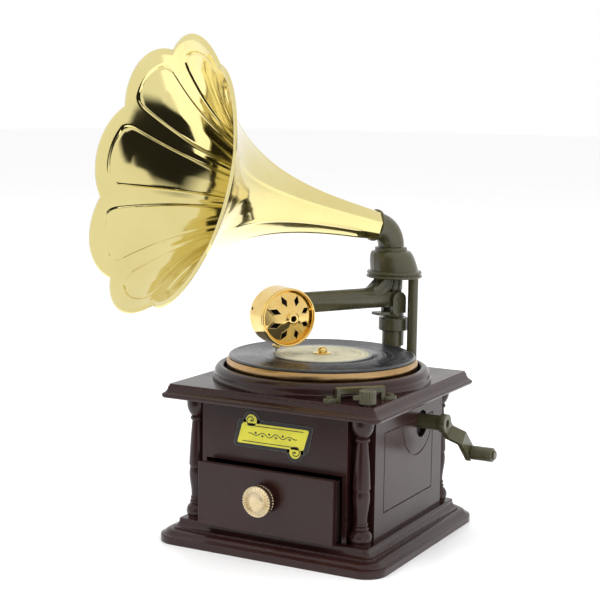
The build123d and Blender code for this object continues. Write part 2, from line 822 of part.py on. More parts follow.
with BuildPart() as tonearm_tube:
    add(tube_solid)
    with BuildSketch(box_plane):
        Circle(box_radius)
    extrude(amount=box_depth, mode=Mode.SUBTRACT)
save(tonearm_tube, "tonearm_tube")

with BuildPart() as sound_box_case:
    with BuildSketch(box_plane):
        Circle(box_radius)
    extrude(amount=box_depth)
    with BuildSketch(box_plane.offset(box_wall)):
        Circle(box_radius - box_wall)
    extrude(amount=box_depth, mode=Mode.SUBTRACT)
    fillet(sound_box_case.edges().filter_by(GeomType.CIRCLE).group_by(SortBy.RADIUS)[-1], 0.4)
save(sound_box_case, "sound_box_case")

face_edge = box_depth - 1.6
face_rise = 4.0
hub_radius = 3.2
with BuildPart() as face:
    with BuildSketch(Plane.XZ):
        with BuildLine():
            Polyline(
                (2.0, face_edge + face_rise),
                (box_radius - box_wall, face_edge),
                (box_radius - box_wall, face_edge + 0.8),
                (2.0, face_edge + face_rise + 0.9),
                close=True,
            )
        make_face()
    revolve(axis=Axis.Z)
    with BuildSketch(Plane.XY.offset(face_edge - 2)):
        with PolarLocations(8.4, 8, start_angle=22.5):
            Polygon((-2.6, 0), (0, -1.4), (2.6, 0), (0, 1.4), align=None)
    extrude(amount=12, mode=Mode.SUBTRACT)
face_solid = box_plane.location * face.part
with BuildPart() as sound_box_face:
    add(face_solid)
save(sound_box_face, "sound_box_face")

with BuildPart() as hub:
    with BuildSketch(Plane.XZ):
        with BuildLine():
            Polyline(
                (1.3, box_wall),
                (2.0, box_wall),
                (2.0, face_edge + face_rise + 0.9),
                (hub_radius, face_edge + face_rise + 0.75),
            )
            ThreePointArc(
                (hub_radius, face_edge + face_rise + 0.75),
                (hub_radius - 0.5, face_edge + face_rise + 1.5),
                (1.9, face_edge + face_rise + 1.9),
            )
            Polyline((1.9, face_edge + face_rise + 1.9), (1.3, face_edge + face_rise + 1.6), (1.3, box_wall))
        make_face()
    revolve(axis=Axis.Z)
hub_solid = box_plane.location * hub.part
with BuildPart() as sound_box_hub:
    add(hub_solid)
save(sound_box_hub, "sound_box_hub")

with BuildPart() as sound_box_diaphragm:
    with BuildSketch(box_plane.offset(box_depth / 2)):
        Circle(box_radius - box_wall - 0.02)
        Circle(2.02, mode=Mode.SUBTRACT)
    extrude(amount=0.5)
save(sound_box_diaphragm, "sound_box_diaphragm")

needle_inset = 2.0              # needle behind the arm axis, towards the sound box's back
needle_seat = sound_box_origin - box_normal * needle_inset + Vector(0, 0, -box_radius)
bead_radius = 0.95
with BuildPart() as needle_clamp:
    with Locations(Plane(origin=needle_seat - Vector(0, 0, 0.5), x_dir=box_normal, z_dir=(0, 0, 1))):
        Box(5.2, 1.3, 2.0)
        with Locations((-1.9, 0, -1.1), (0, 0, -1.1), (1.9, 0, -1.1)):
            Sphere(bead_radius)
    with BuildSketch(box_plane):
        Circle(box_radius)
    extrude(amount=box_depth, mode=Mode.SUBTRACT)
save(needle_clamp, "needle_clamp")

needle_tip_gap = 0.2
needle_tip = record_top + needle_tip_gap
with BuildPart() as needle:
    with Locations(Plane(origin=(needle_seat.X, needle_seat.Y, needle_tip))):
        Cone(0.15, 0.6, 1.8, align=(Align.CENTER, Align.CENTER, Align.MIN))
    with Locations(needle_seat - Vector(0, 0, 1.6)):
        Sphere(bead_radius, mode=Mode.SUBTRACT)
save(needle, "needle")


# ---- coupling, elbow and horn ------------------------------------------------------------
spigot_top = 5.0
coupling_floor = 128.4
coupling_lean = compass(horn_azimuth) * horn_lean
elbow_x, elbow_y = pipe_x + coupling_lean.X, pipe_y + coupling_lean.Y


with BuildPart() as dome:
    with BuildSketch(Plane.XZ):
        with BuildLine():
            Polyline((0, -4.0), (11.9, -4.0), (11.9, 0))
            Spline((11.9, 0), (11.3, 4.0), (10.3, 7.6), (8.3, 9.8))
            Polyline((8.3, 9.8), (0, 9.8), (0, -4.0))
        make_face()
    revolve(axis=Axis.Z)
with BuildPart() as dome_hollow:
    with BuildSketch(Plane.XZ):
        with BuildLine():
            Polyline((0, -6.0), (9.9, -6.0), (9.9, 1.5), (9.5, 4.4), (7.4, 7.0), (0, 7.0), (0, -6.0))
        make_face()
    revolve(axis=Axis.Z)
dome_place = Plane(
    origin=(pipe_x, pipe_y, flange_top),
    x_dir=compass(horn_azimuth).cross(Vector(0, 0, 1)),
    z_dir=coupling_lean + Vector(0, 0, coupling_top - 2.0 - flange_top),
).location
dome_solid = dome_place * dome.part
hollow_solid = dome_place * dome_hollow.part

with BuildPart() as horn_coupling:
    add(dome_solid)
    with BuildSketch(Plane((pipe_x, pipe_y, flange_top))):
        Circle(30)
    extrude(amount=-10, mode=Mode.SUBTRACT)
    with BuildSketch(Plane((elbow_x, elbow_y, coupling_top - 3.5))):
        Circle(8.0)
    extrude(amount=3.5)
    with BuildSketch(Plane((pipe_x, pipe_y, flange_bottom))):
        Circle(flange_radius)
    extrude(amount=flange_top - flange_bottom)
    # hollow underneath for the tonearm's neck, and the elbow's bore
    add(hollow_solid, mode=Mode.SUBTRACT)
    with BuildSketch(Plane((pipe_x, pipe_y, flange_bottom))):
        Circle(10.4)
    extrude(amount=2.6, mode=Mode.SUBTRACT)
    with BuildSketch(Plane((elbow_x, elbow_y, coupling_floor - 1.5))):
        Circle(spigot_top + 0.05)
    extrude(amount=coupling_top, mode=Mode.SUBTRACT)
save(horn_coupling, "horn_coupling")

elbow_start = coupling_top + 0.4
bend = 90 - horn_rise
elbow_plane = Plane(
    origin=(elbow_x, elbow_y, 0),
    x_dir=compass(horn_azimuth),
    z_dir=compass(horn_azimuth).cross(Vector(0, 0, 1)),
)
bend_end_out = elbow_bend * (1 - cos(radians(bend)))
bend_end_up = elbow_start + elbow_bend * sin(radians(bend))
socket_length = 2.6
neck_origin = (
    Vector(elbow_x, elbow_y, bend_end_up)
    + compass(horn_azimuth) * bend_end_out
    + compass(horn_azimuth, horn_rise) * socket_length
)
horn_plane = Plane(
    origin=neck_origin,
    x_dir=compass(horn_azimuth).cross(Vector(0, 0, 1)),
    z_dir=compass(horn_azimuth, horn_rise),
)

with BuildPart() as horn_elbow:
    with BuildLine(elbow_plane):
        RadiusArc((0, elbow_start), (bend_end_out, bend_end_up), elbow_bend)
    with BuildSketch(Plane((elbow_x, elbow_y, elbow_start))):
        Circle(elbow_radius)
    sweep()
    with BuildSketch(horn_plane.offset(-socket_length)):
        Circle(elbow_radius)
    with BuildSketch(horn_plane):
        Circle(neck_radius + 0.5)
    loft()
    with BuildSketch(Plane((elbow_x, elbow_y, elbow_start))):
        Circle(spigot_top)
    extrude(amount=-(elbow_start - coupling_floor - 0.4))
save(horn_elbow, "horn_elbow")


def bell_radius(s):
    """Outer radius of the horn at distance s from its neck."""
    return neck_radius + flare_size * (exp(flare_rate * s) - 1)


def bell_bore(s):
    """Inner radius, so that the wall keeps its thickness where the bell flares."""
    slope = flare_size * flare_rate * exp(flare_rate * s)
    return bell_radius(s) - bell_wall * hypot(1, slope)


def flared_solid(radius_of, length):
    """Solid of revolution under a flaring curve, along +Z."""
    stations = [length * share for share in (0, 0.2, 0.4, 0.55, 0.7, 0.82, 0.91, 1)]
    curve = [(radius_of(s), s) for s in stations]
    with BuildPart() as flared:
        with BuildSketch(Plane.XZ):
            with BuildLine():
                Spline(*curve)
                Polyline(curve[-1], (0, length), (0, 0), curve[0])
            make_face()
        revolve(axis=Axis.Z)
    return flared.part


bell_outside = flared_solid(bell_radius, bell_length)
bell_inside = flared_solid(bell_bore, bell_length)
with BuildPart() as bell:
    add(bell_outside)
    add(bell_inside, mode=Mode.SUBTRACT)
    with BuildSketch():
        Circle(petal_radius)
        with PolarLocations(petal_tip - petal_radius, petals, start_angle=petal_turn):
            Circle(petal_radius)
    extrude(amount=bell_length, mode=Mode.INTERSECT)
horn_solid = horn_plane.location * bell.part
with BuildPart() as horn_bell:
    add(horn_solid)
save(horn_bell, "horn_bell")


# ---- crank -------------------------------------------------------------------------------
crank_plane = Plane(origin=(0, crank_y, crank_z), x_dir=(0, 1, 0), z_dir=(1, 0, 0))
bush_back = 41.3
shaft_start = 38.0
hub_thick = 3.2
shaft_end = crank_hub_x - hub_thick / 2

with BuildPart() as crank_bush:
    with BuildSketch(crank_plane.offset(bush_back)):
        Circle(10.5)
        Circle(crank_shaft_radius + 0.05, mode=Mode.SUBTRACT)
    extrude(amount=inner_half - bush_back)
save(crank_bush, "crank_bush")

arbor_radius = 2.0
with BuildPart() as crank_shaft:
    with BuildSketch(crank_plane.offset(shaft_start)):
        Circle(crank_shaft_radius)
    extrude(amount=shaft_end - shaft_start)
    with BuildSketch(crank_plane.offset(shaft_start)):
        Circle(arbor_radius)
    extrude(amount=6, mode=Mode.SUBTRACT)
save(crank_shaft, "crank_shaft")

arm_out = Vector(0, cos(radians(crank_fall)), -sin(radians(crank_fall)))
bar_plane = Plane(
    origin=(crank_hub_x, crank_y, crank_z),
    x_dir=arm_out,
    z_dir=arm_out.cross(Vector(1, 0, 0)),
)
bar_up = 1 if bar_plane.y_dir.X > 0 else -1
step_start = 8.0
step_end = 12.6
half_bar = crank_bar_thick / 2

with BuildPart() as crank_arm:
    # bent bar seen edge on: hub end, sideways step, grip end
    with BuildSketch(bar_plane):
        with BuildLine():
            Polyline(
                (0, -bar_up * half_bar),
                (step_start, -bar_up * half_bar),
                (step_end, bar_up * (crank_step - half_bar)),
                (crank_reach + 2.4, bar_up * (crank_step - half_bar)),
                (crank_reach + 2.4, bar_up * (crank_step + half_bar)),
                (step_end - 0.8, bar_up * (crank_step + half_bar)),
                (step_start - 0.8, bar_up * half_bar),
                (0, bar_up * half_bar),
                close=True,
            )
        make_face()
    extrude(amount=crank_bar_width / 2, both=True)
    with BuildSketch(crank_plane.offset(shaft_end)):
        Circle(4.4)
    extrude(amount=hub_thick)
    with BuildSketch(crank_plane.offset(shaft_end)):
        Circle(1.9)
    extrude(amount=hub_thick, mode=Mode.SUBTRACT)
save(crank_arm, "crank_arm")

grip_centre = Vector(0, crank_y, crank_z) + arm_out * crank_reach
grip_plane = Plane(origin=grip_centre, x_dir=(0, 1, 0), z_dir=(1, 0, 0))
arm_face_x = crank_hub_x + crank_step + half_bar
grip_start = arm_face_x + 0.3
pin_head = 0.8

with BuildPart() as grip_pin:
    with BuildSketch(grip_plane.offset(arm_face_x)):
        Circle(1.4)
    extrude(amount=grip_length + 0.5)
    with BuildSketch(grip_plane.offset(grip_start + grip_length + 0.2)):
        Circle(2.2)
    extrude(amount=pin_head)
save(grip_pin, "grip_pin")

with BuildPart() as crank_grip:
    with BuildSketch(grip_plane.offset(grip_start)):
        Circle(grip_radius)
    extrude(amount=grip_length)
    fillet(crank_grip.edges().filter_by(GeomType.CIRCLE), 0.6)
    with BuildSketch(grip_plane.offset(grip_start)):
        Circle(1.45)
    extrude(amount=grip_length, mode=Mode.SUBTRACT)
save(crank_grip, "crank_grip")


# ---- regulator on the lid's front right corner -------------------------------------------
bridge_bar_bottom = 3.5
bridge_bar_top = 6.0
foot_reach = 15.6

with BuildPart() as regulator_bridge:
    with BuildSketch(regulator_plane):
        for side in (-1, 1):
            with Locations((side * (bridge_half + foot_reach) / 2, -bridge_u)):
                SlotOverall(foot_reach - bridge_half + 2.4, 4.2)
            with Locations((side * bridge_screw_v, -bridge_u)):
                Circle(regulator_peg, mode=Mode.SUBTRACT)
    extrude(amount=1.6)
    with BuildSketch(regulator_plane):
        for side in (-1, 1):
            with Locations((side * (bridge_half - 0.8), -bridge_u)):
                Rectangle(1.6, 3.2)
    extrude(amount=bridge_bar_top)
    with BuildSketch(regulator_plane.offset(bridge_bar_bottom)):
        with Locations((0, -bridge_u)):
            Rectangle(2 * bridge_half, 3.2)
    extrude(amount=bridge_bar_top - bridge_bar_bottom)
save(regulator_bridge, "regulator_bridge")

with BuildPart() as bridge_screws:
    with BuildSketch(regulator_plane.offset(-regulator_peg_depth)):
        with Locations((-bridge_screw_v, -bridge_u), (bridge_screw_v, -bridge_u)):
            Circle(regulator_peg)
    extrude(amount=regulator_peg_depth + 1.6)
    with BuildSketch(regulator_plane.offset(1.6)):
        with Locations((-bridge_screw_v, -bridge_u), (bridge_screw_v, -bridge_u)):
            Circle(1.6)
    extrude(amount=0.8)
save(bridge_screws, "bridge_screws")

regulator_bottom = 0.4
with BuildPart() as regulator_shaft:
    with BuildSketch(regulator_plane):
        with Locations((0, -knob_u)):
            Circle(1.5)
    extrude(amount=4.4)
    with BuildSketch(regulator_plane):
        with Locations((0, -knob_u)):
            Circle(regulator_peg)
    extrude(amount=-regulator_peg_depth)
save(regulator_shaft, "regulator_shaft")

with BuildPart() as regulator_knob:
    with BuildSketch(regulator_plane.offset(regulator_bottom)):
        with Locations((0, -knob_u)):
            Circle(regulator_radius)
            with PolarLocations(regulator_radius + 0.15, 18):
                Circle(0.4, mode=Mode.SUBTRACT)
    extrude(amount=regulator_top - lid_top - regulator_bottom)
    # pointer wedge, along the edge of the bridge
    with BuildSketch(regulator_plane.offset(2.4)):
        with Locations((0, -knob_u)):
            Polygon((-3.0, -1.3), (-3.0, 1.3), (-6.7, 0), align=None)
    extrude(amount=1.8)
    with BuildSketch(regulator_plane.offset(regulator_bottom)):
        with Locations((0, -knob_u)):
            Circle(1.55)
    extrude(amount=4.1, mode=Mode.SUBTRACT)
save(regulator_knob, "regulator_knob")


# ---- musical movement under the lid ------------------------------------------------------
bed_bottom = shelf_bottom + shelf_thick
bed_thick = 1.5
bed_top = bed_bottom + bed_thick
cylinder_radius = 6.5
cylinder_start, cylinder_end = -36.0, -18.0
left_bracket_x = -42.4
right_bracket_x = 17.4
bracket_thick = 1.4
shaft_plane = Plane(origin=(0, 0, shaft_z), x_dir=(0, 1, 0), z_dir=(1, 0, 0))
barrel_plane = crank_plane
governor_plane = Plane(origin=(0, governor_y, shaft_z), x_dir=(0, 1, 0), z_dir=(1, 0, 0))
pivot_radius = 1.2
running_gap = 0.05

with BuildPart() as movement_bedplate:
    with BuildSketch(Plane.XY.offset(bed_bottom)):
        with Locations((-5.0, -2.0)):
            Rectangle(76, 48)
        with GridLocations(70, 42, 2, 2):
            with Locations((-5.0, -2.0)):
                Circle(1.1, mode=Mode.SUBTRACT)
    extrude(amount=bed_thick)
save(movement_bedplate, "movement_bedplate")

with BuildPart() as bed_screws:
    with BuildSketch(Plane.XY.offset(bed_bottom)):
        with GridLocations(70, 42, 2, 2):
            with Locations((-5.0, -2.0)):
                Circle(1.1)
    extrude(amount=bed_thick)
    with BuildSketch(Plane.XY.offset(bed_top)):
        with GridLocations(70, 42, 2, 2):
            with Locations((-5.0, -2.0)):
                Circle(2.0)
    extrude(amount=1.0)
save(bed_screws, "bed_screws")

with BuildPart() as bearing_brackets:
    with BuildSketch(shaft_plane.offset(left_bracket_x)):
        with Locations((governor_y / 2, -(shaft_z - bed_top) / 2 + 2)):
            Rectangle(24, shaft_z - bed_top + 4)
        with Locations((0, 0), (governor_y, 0)):
            Circle(pivot_radius + running_gap, mode=Mode.SUBTRACT)
    extrude(amount=bracket_thick)
    with BuildSketch(shaft_plane.offset(right_bracket_x)):
        with Locations((crank_y / 2, -(shaft_z - bed_top) / 2 + 2)):
            Rectangle(24, shaft_z - bed_top + 4)
        with Locations((0, 0), (crank_y, 0)):
            Circle(pivot_radius + running_gap, mode=Mode.SUBTRACT)
    extrude(amount=bracket_thick)
save(bearing_brackets, "bearing_brackets")

pinion_width = 4.0
crown_pinion = gear(
    shaft_plane.offset(crown_radius - pinion_width / 2),
    crown_pinion_radius, pinion_teeth, crown_pitch / pi, pinion_width, phase=90,
)
barrel_wheel_x = 20.0
wheel_width = 2.4
drive_pinion = gear(
    shaft_plane.offset(barrel_wheel_x),
    gear_module_spur * pinion_teeth / 2, pinion_teeth, gear_module_spur, wheel_width, phase=0,
)
governor_wheel_x = -40.2
governor_wheel = gear(
    shaft_plane.offset(governor_wheel_x),
    gear_module_spur * wheel_teeth / 2, wheel_teeth, gear_module_spur, wheel_width, phase=0,
)

with BuildPart() as music_cylinder:
    with BuildSketch(shaft_plane.offset(left_bracket_x)):
        Circle(pivot_radius)
    extrude(amount=barrel_wheel_x + wheel_width - left_bracket_x)
    with BuildSketch(shaft_plane.offset(cylinder_start)):
        Circle(cylinder_radius)
    extrude(amount=cylinder_end - cylinder_start)
    add(crown_pinion)
    add(drive_pinion)
    add(governor_wheel)
    # rows of pins that pluck the comb
    for row in range(6):
        row_x = cylinder_start + 2.0 + row * 2.8
        spread = 47 * row
        for spot in range(3):
            turn = radians(spread + 120 * spot + 20)
            with Locations(
                Plane(
                    origin=(row_x, cylinder_radius * cos(turn) * 0.97, shaft_z + cylinder_radius * sin(turn) * 0.97),
                    z_dir=(0, cos(turn), sin(turn)),
                )
            ):
                Cylinder(0.25, 0.9, align=(Align.CENTER, Align.CENTER, Align.MIN))
save(music_cylinder, "music_cylinder")

barrel_wheel = gear(
    barrel_plane.offset(barrel_wheel_x),
    gear_module_spur * wheel_teeth / 2, wheel_teeth, gear_module_spur, wheel_width, phase=5,
)
barrel_end = 36.0
with BuildPart() as spring_barrel:
    add(barrel_wheel)
    with BuildSketch(barrel_plane.offset(right_bracket_x)):
        Circle(pivot_radius)
    extrude(amount=barrel_wheel_x - right_bracket_x)
    with BuildSketch(barrel_plane.offset(barrel_wheel_x + wheel_width)):
        Circle(8.4)
    extrude(amount=barrel_end - barrel_wheel_x - wheel_width)
    with BuildSketch(barrel_plane.offset(barrel_wheel_x + 4)):
        Circle(arbor_radius + running_gap)
    extrude(amount=barrel_end, mode=Mode.SUBTRACT)
save(spring_barrel, "spring_barrel")

with BuildPart() as winding_arbor:
    with BuildSketch(crank_plane.offset(barrel_wheel_x + 4.5)):
        Circle(arbor_radius)
    extrude(amount=shaft_start + 6 - barrel_wheel_x - 4.5)
save(winding_arbor, "winding_arbor")

governor_pinion = gear(
    governor_plane.offset(governor_wheel_x),
    gear_module_spur * pinion_teeth / 2, pinion_teeth, gear_module_spur, wheel_width, phase=15,
)
with BuildPart() as governor_fan:
    add(governor_pinion)
    with BuildSketch(governor_plane.offset(left_bracket_x)):
        Circle(pivot_radius)
    extrude(amount=6.0)
    with BuildSketch(governor_plane.offset(governor_wheel_x + wheel_width + 0.3)):
        Rectangle(12.0, 1.0)
    extrude(amount=1.2)
save(governor_fan, "governor_fan")

comb_teeth = 12
comb_tip_y = -(cylinder_radius + 1.0)
comb_length = 9.0
comb_z = shaft_z - 0.4
comb_thick = 0.8
with BuildPart() as tone_comb:
    with BuildSketch(Plane.XY.offset(comb_z)):
        with Locations(((cylinder_start + cylinder_end) / 2, comb_tip_y - comb_length - 2.5)):
            Rectangle(cylinder_end - cylinder_start, 5.0)
        with Locations(((cylinder_start + cylinder_end) / 2, comb_tip_y - comb_length / 2)):
            with GridLocations((cylinder_end - cylinder_start - 1) / (comb_teeth - 1), 0, comb_teeth, 1):
                Rectangle(0.9, comb_length)
        with Locations(((cylinder_start + cylinder_end) / 2, comb_tip_y - comb_length - 2.5)):
            with GridLocations(10, 0, 2, 1):
                Circle(0.9, mode=Mode.SUBTRACT)
    extrude(amount=comb_thick)
save(tone_comb, "tone_comb")

with BuildPart() as comb_base:
    with BuildSketch(Plane.XY.offset(bed_top)):
        with Locations(((cylinder_start + cylinder_end) / 2, comb_tip_y - comb_length - 2.5)):
            Rectangle(cylinder_end - cylinder_start, 5.0)
            with GridLocations(10, 0, 2, 1):
                Circle(0.9, mode=Mode.SUBTRACT)
    extrude(amount=comb_z - bed_top)
save(comb_base, "comb_base")

with BuildPart() as comb_screws:
    with BuildSketch(Plane.XY.offset(bed_top)):
        with Locations(((cylinder_start + cylinder_end) / 2, comb_tip_y - comb_length - 2.5)):
            with GridLocations(10, 0, 2, 1):
                Circle(0.9)
    extrude(amount=comb_z + comb_thick - bed_top)
    with BuildSketch(Plane.XY.offset(comb_z + comb_thick)):
        with Locations(((cylinder_start + cylinder_end) / 2, comb_tip_y - comb_length - 2.5)):
            with GridLocations(10, 0, 2, 1):
                Circle(1.6)
    extrude(amount=0.9)
save(comb_screws, "comb_screws")
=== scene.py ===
import json
import math

import bmesh
import bpy
import numpy as np
from mathutils import Matrix, Vector


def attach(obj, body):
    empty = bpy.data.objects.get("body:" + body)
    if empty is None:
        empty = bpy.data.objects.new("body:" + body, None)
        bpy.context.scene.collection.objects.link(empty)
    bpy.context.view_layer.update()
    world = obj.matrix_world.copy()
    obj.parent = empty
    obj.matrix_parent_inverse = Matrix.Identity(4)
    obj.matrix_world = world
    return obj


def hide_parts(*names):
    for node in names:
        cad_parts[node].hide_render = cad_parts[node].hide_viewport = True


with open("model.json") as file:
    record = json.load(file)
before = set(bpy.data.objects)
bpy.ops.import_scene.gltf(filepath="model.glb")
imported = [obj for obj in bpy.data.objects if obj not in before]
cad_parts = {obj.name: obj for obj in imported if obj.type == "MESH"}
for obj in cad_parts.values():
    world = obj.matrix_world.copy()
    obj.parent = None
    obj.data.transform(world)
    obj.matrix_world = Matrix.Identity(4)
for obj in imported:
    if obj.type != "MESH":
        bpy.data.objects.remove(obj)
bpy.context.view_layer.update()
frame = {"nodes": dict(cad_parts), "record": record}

MM = 0.001
TURN = 2 * math.pi


# ---- materials -----------------------------------------------------------------------------
def link(tree, source, target):
    tree.links.new(source, target)


def noise(tree, coords, scale, detail=4.0, roughness=0.55, stretch=None):
    """Noise on object coordinates in metres, stretched along an axis where asked."""
    texture = tree.nodes.new("ShaderNodeTexNoise")
    texture.inputs["Scale"].default_value = scale
    texture.inputs["Detail"].default_value = detail
    texture.inputs["Roughness"].default_value = roughness
    vector = coords.outputs["Object"]
    if stretch:
        mapping = tree.nodes.new("ShaderNodeMapping")
        mapping.inputs["Scale"].default_value = stretch
        link(tree, vector, mapping.inputs["Vector"])
        vector = mapping.outputs["Vector"]
    link(tree, vector, texture.inputs["Vector"])
    return texture.outputs["Fac"]


def spread(tree, value, low, high, out_low, out_high):
    """Map a value from low..high to out_low..out_high, clamped."""
    node = tree.nodes.new("ShaderNodeMapRange")
    node.inputs["From Min"].default_value = low
    node.inputs["From Max"].default_value = high
    node.inputs["To Min"].default_value = out_low
    node.inputs["To Max"].default_value = out_high
    link(tree, value, node.inputs["Value"])
    return node.outputs["Result"]


def mix_colour(tree, factor, first, second):
    """Mix two colours; each is a tuple or a socket."""
    node = tree.nodes.new("ShaderNodeMix")
    node.data_type = "RGBA"
    link(tree, factor, node.inputs[0])
    for socket, colour in ((node.inputs[6], first), (node.inputs[7], second)):
        if isinstance(colour, tuple):
            socket.default_value = (*colour, 1)
        else:
            link(tree, colour, socket)
    return node.outputs[2]


def maths(tree, operation, first, second=0):
    """One arithmetic node; each operand is a number or a socket."""
    node = tree.nodes.new("ShaderNodeMath")
    node.operation = operation
    for socket, value in ((node.inputs[0], first), (node.inputs[1], second)):
        if isinstance(value, (int, float)):
            socket.default_value = value
        else:
            link(tree, value, socket)
    return node.outputs[0]


EDGE_REACH = 0.45 * MM
EDGE_MARK_START, EDGE_MARK_FULL = 0.995, 0.90
WORN_DULLING = 0.12
RELIEF_STRENGTH = 0.6
COAT_ROUGHNESS = 0.06


def finish_parts(name, colour, deep, edge, rough, metal=0.0, coat=0.0, patch=45.0, grain=900.0,
                 relief=0.02, scuffs=0.0, stretch=None, edge_wear=0.5):
    """A surface with colour drift, uneven gloss, fine relief, lighter edges and light scuffs; the
    lighter edges are partly rubbed wear and partly a painted highlight.

    Returns the material, its shader, its colour socket and its bump node, so that a caller can
    add a pattern.
    """
    material = bpy.data.materials.new(name)
    material.use_nodes = True
    tree = material.node_tree
    shader = tree.nodes["Principled BSDF"]
    coords = tree.nodes.new("ShaderNodeTexCoord")
    drift = spread(tree, noise(tree, coords, patch, stretch=stretch), 0.35, 0.65, 0, 1)
    body = mix_colour(tree, drift, colour, deep)

    # an edge is where the bevelled normal parts from the face's own
    edge_normal = tree.nodes.new("ShaderNodeBevel")
    edge_normal.samples = 4
    edge_normal.inputs["Radius"].default_value = EDGE_REACH
    geometry = tree.nodes.new("ShaderNodeNewGeometry")
    agree = tree.nodes.new("ShaderNodeVectorMath")
    agree.operation = "DOT_PRODUCT"
    link(tree, edge_normal.outputs["Normal"], agree.inputs[0])
    link(tree, geometry.outputs["Normal"], agree.inputs[1])
    # edges lightened towards the edge colour: partly rubbed wear, partly a painted highlight where
    # edges catch the light
    rubbed_and_lit = spread(tree, agree.outputs["Value"], EDGE_MARK_START, EDGE_MARK_FULL, 0, edge_wear)
    broken = spread(tree, noise(tree, coords, patch * 14), 0.4, 0.62, 0.15, 1)
    worn_and_lit_edges = maths(tree, "MULTIPLY", rubbed_and_lit, broken)
    painted = mix_colour(tree, worn_and_lit_edges, body, edge)
    link(tree, painted, shader.inputs["Base Color"])

    gloss = spread(tree, noise(tree, coords, patch * 2.3, 6, stretch=stretch), 0.3, 0.7, *rough)
    lines = spread(tree, noise(tree, coords, 150, 5, 0.7, (1, 9, 1)), 0.62, 0.72, 0, scuffs)
    scuffed = maths(tree, "ADD", gloss, lines)
    dulled = maths(tree, "ADD", scuffed, maths(tree, "MULTIPLY", worn_and_lit_edges, WORN_DULLING))
    link(tree, dulled, shader.inputs["Roughness"])
    bump = tree.nodes.new("ShaderNodeBump")
    bump.inputs["Strength"].default_value = RELIEF_STRENGTH
    bump.inputs["Distance"].default_value = relief * MM
    link(tree, noise(tree, coords, grain, 3, stretch=stretch), bump.inputs["Height"])
    link(tree, bump.outputs["Normal"], shader.inputs["Normal"])
    shader.inputs["Metallic"].default_value = metal
    shader.inputs["Coat Weight"].default_value = coat
    shader.inputs["Coat Roughness"].default_value = COAT_ROUGHNESS
    return material, shader, painted, bump


def finish_of(*look, **details):
    """The same surface's material alone, where no pattern is added."""
    return finish_parts(*look, **details)[0]


def radial_distance(tree):
    """Distance from the turntable's axis, in metres."""
    coords = tree.nodes.new("ShaderNodeTexCoord")
    flat = tree.nodes.new("ShaderNodeVectorMath")
    flat.operation = "MULTIPLY"
    flat.inputs[1].default_value = (1, 1, 0)
    link(tree, coords.outputs["Object"], flat.inputs[0])
    length = tree.nodes.new("ShaderNodeVectorMath")
    length.operation = "LENGTH"
    link(tree, flat.outputs[0], length.inputs[0])
    return length.outputs["Value"]


def band(tree, distance, centre, half, blur=0.06):
    """1 inside a ring of that centre radius and half width in millimetres, soft at its edges."""
    away = maths(tree, "ABSOLUTE", maths(tree, "SUBTRACT", distance, centre * MM))
    return spread(tree, away, (half - blur) * MM, (half + blur) * MM, 1, 0)


# printed rings on the label: radius and half width in millimetres, then colour
LABEL_RINGS = ((22.7, 0.75, (0.30, 0.32, 0.30)), (20.9, 0.16, (0.25, 0.22, 0.12)),
               (18.0, 0.12, (0.35, 0.28, 0.12)), (6.6, 0.14, (0.3, 0.25, 0.12)))
WASH_COLOUR, WASH_OUT = (0.20, 0.24, 0.17), 17.0
SHADED_PITCH, SHADED_DEEP = 0.22, 0.02


def label_paper():
    """Cream record label with plain printed rings and a soft watercolour ground."""
    material, shader, colour, _ = finish_parts(
        "label_paper", (0.66, 0.61, 0.42), (0.52, 0.50, 0.35), (0.8, 0.77, 0.62), (0.5, 0.68),
        patch=60, grain=2600, relief=0.03)
    tree = material.node_tree
    distance = radial_distance(tree)
    coords = tree.nodes.new("ShaderNodeTexCoord")
    wash = spread(tree, noise(tree, coords, 95, 5), 0.5, 0.62, 0, 0.55)
    inner = spread(tree, distance, (WASH_OUT - 0.5) * MM, (WASH_OUT + 0.5) * MM, 1, 0)
    colour = mix_colour(tree, maths(tree, "MULTIPLY", wash, inner), colour, WASH_COLOUR)
    for centre, half, print_colour in LABEL_RINGS:
        colour = mix_colour(tree, band(tree, distance, centre, half), colour, print_colour)
    link(tree, colour, shader.inputs["Base Color"])
    return material


def record_vinyl():
    """Black disc whose shaded grooves are finer than its modelled ones."""
    material, shader, _, bump = finish_parts(
        "record_vinyl", (0.011, 0.012, 0.016), (0.018, 0.019, 0.026), (0.03, 0.03, 0.035),
        (0.2, 0.34), coat=0.15, patch=30, grain=700, relief=0.004, scuffs=0.12)
    tree = material.node_tree
    wave = maths(tree, "MULTIPLY", radial_distance(tree), TURN / (SHADED_PITCH * MM))
    grooves = tree.nodes.new("ShaderNodeBump")
    grooves.inputs["Strength"].default_value = 0.35
    grooves.inputs["Distance"].default_value = SHADED_DEEP * MM
    link(tree, maths(tree, "SINE", wave), grooves.inputs["Height"])
    link(tree, bump.outputs["Normal"], grooves.inputs["Normal"])
    link(tree, grooves.outputs["Normal"], shader.inputs["Normal"])
    shader.inputs["Specular IOR Level"].default_value = 0.7
    return material


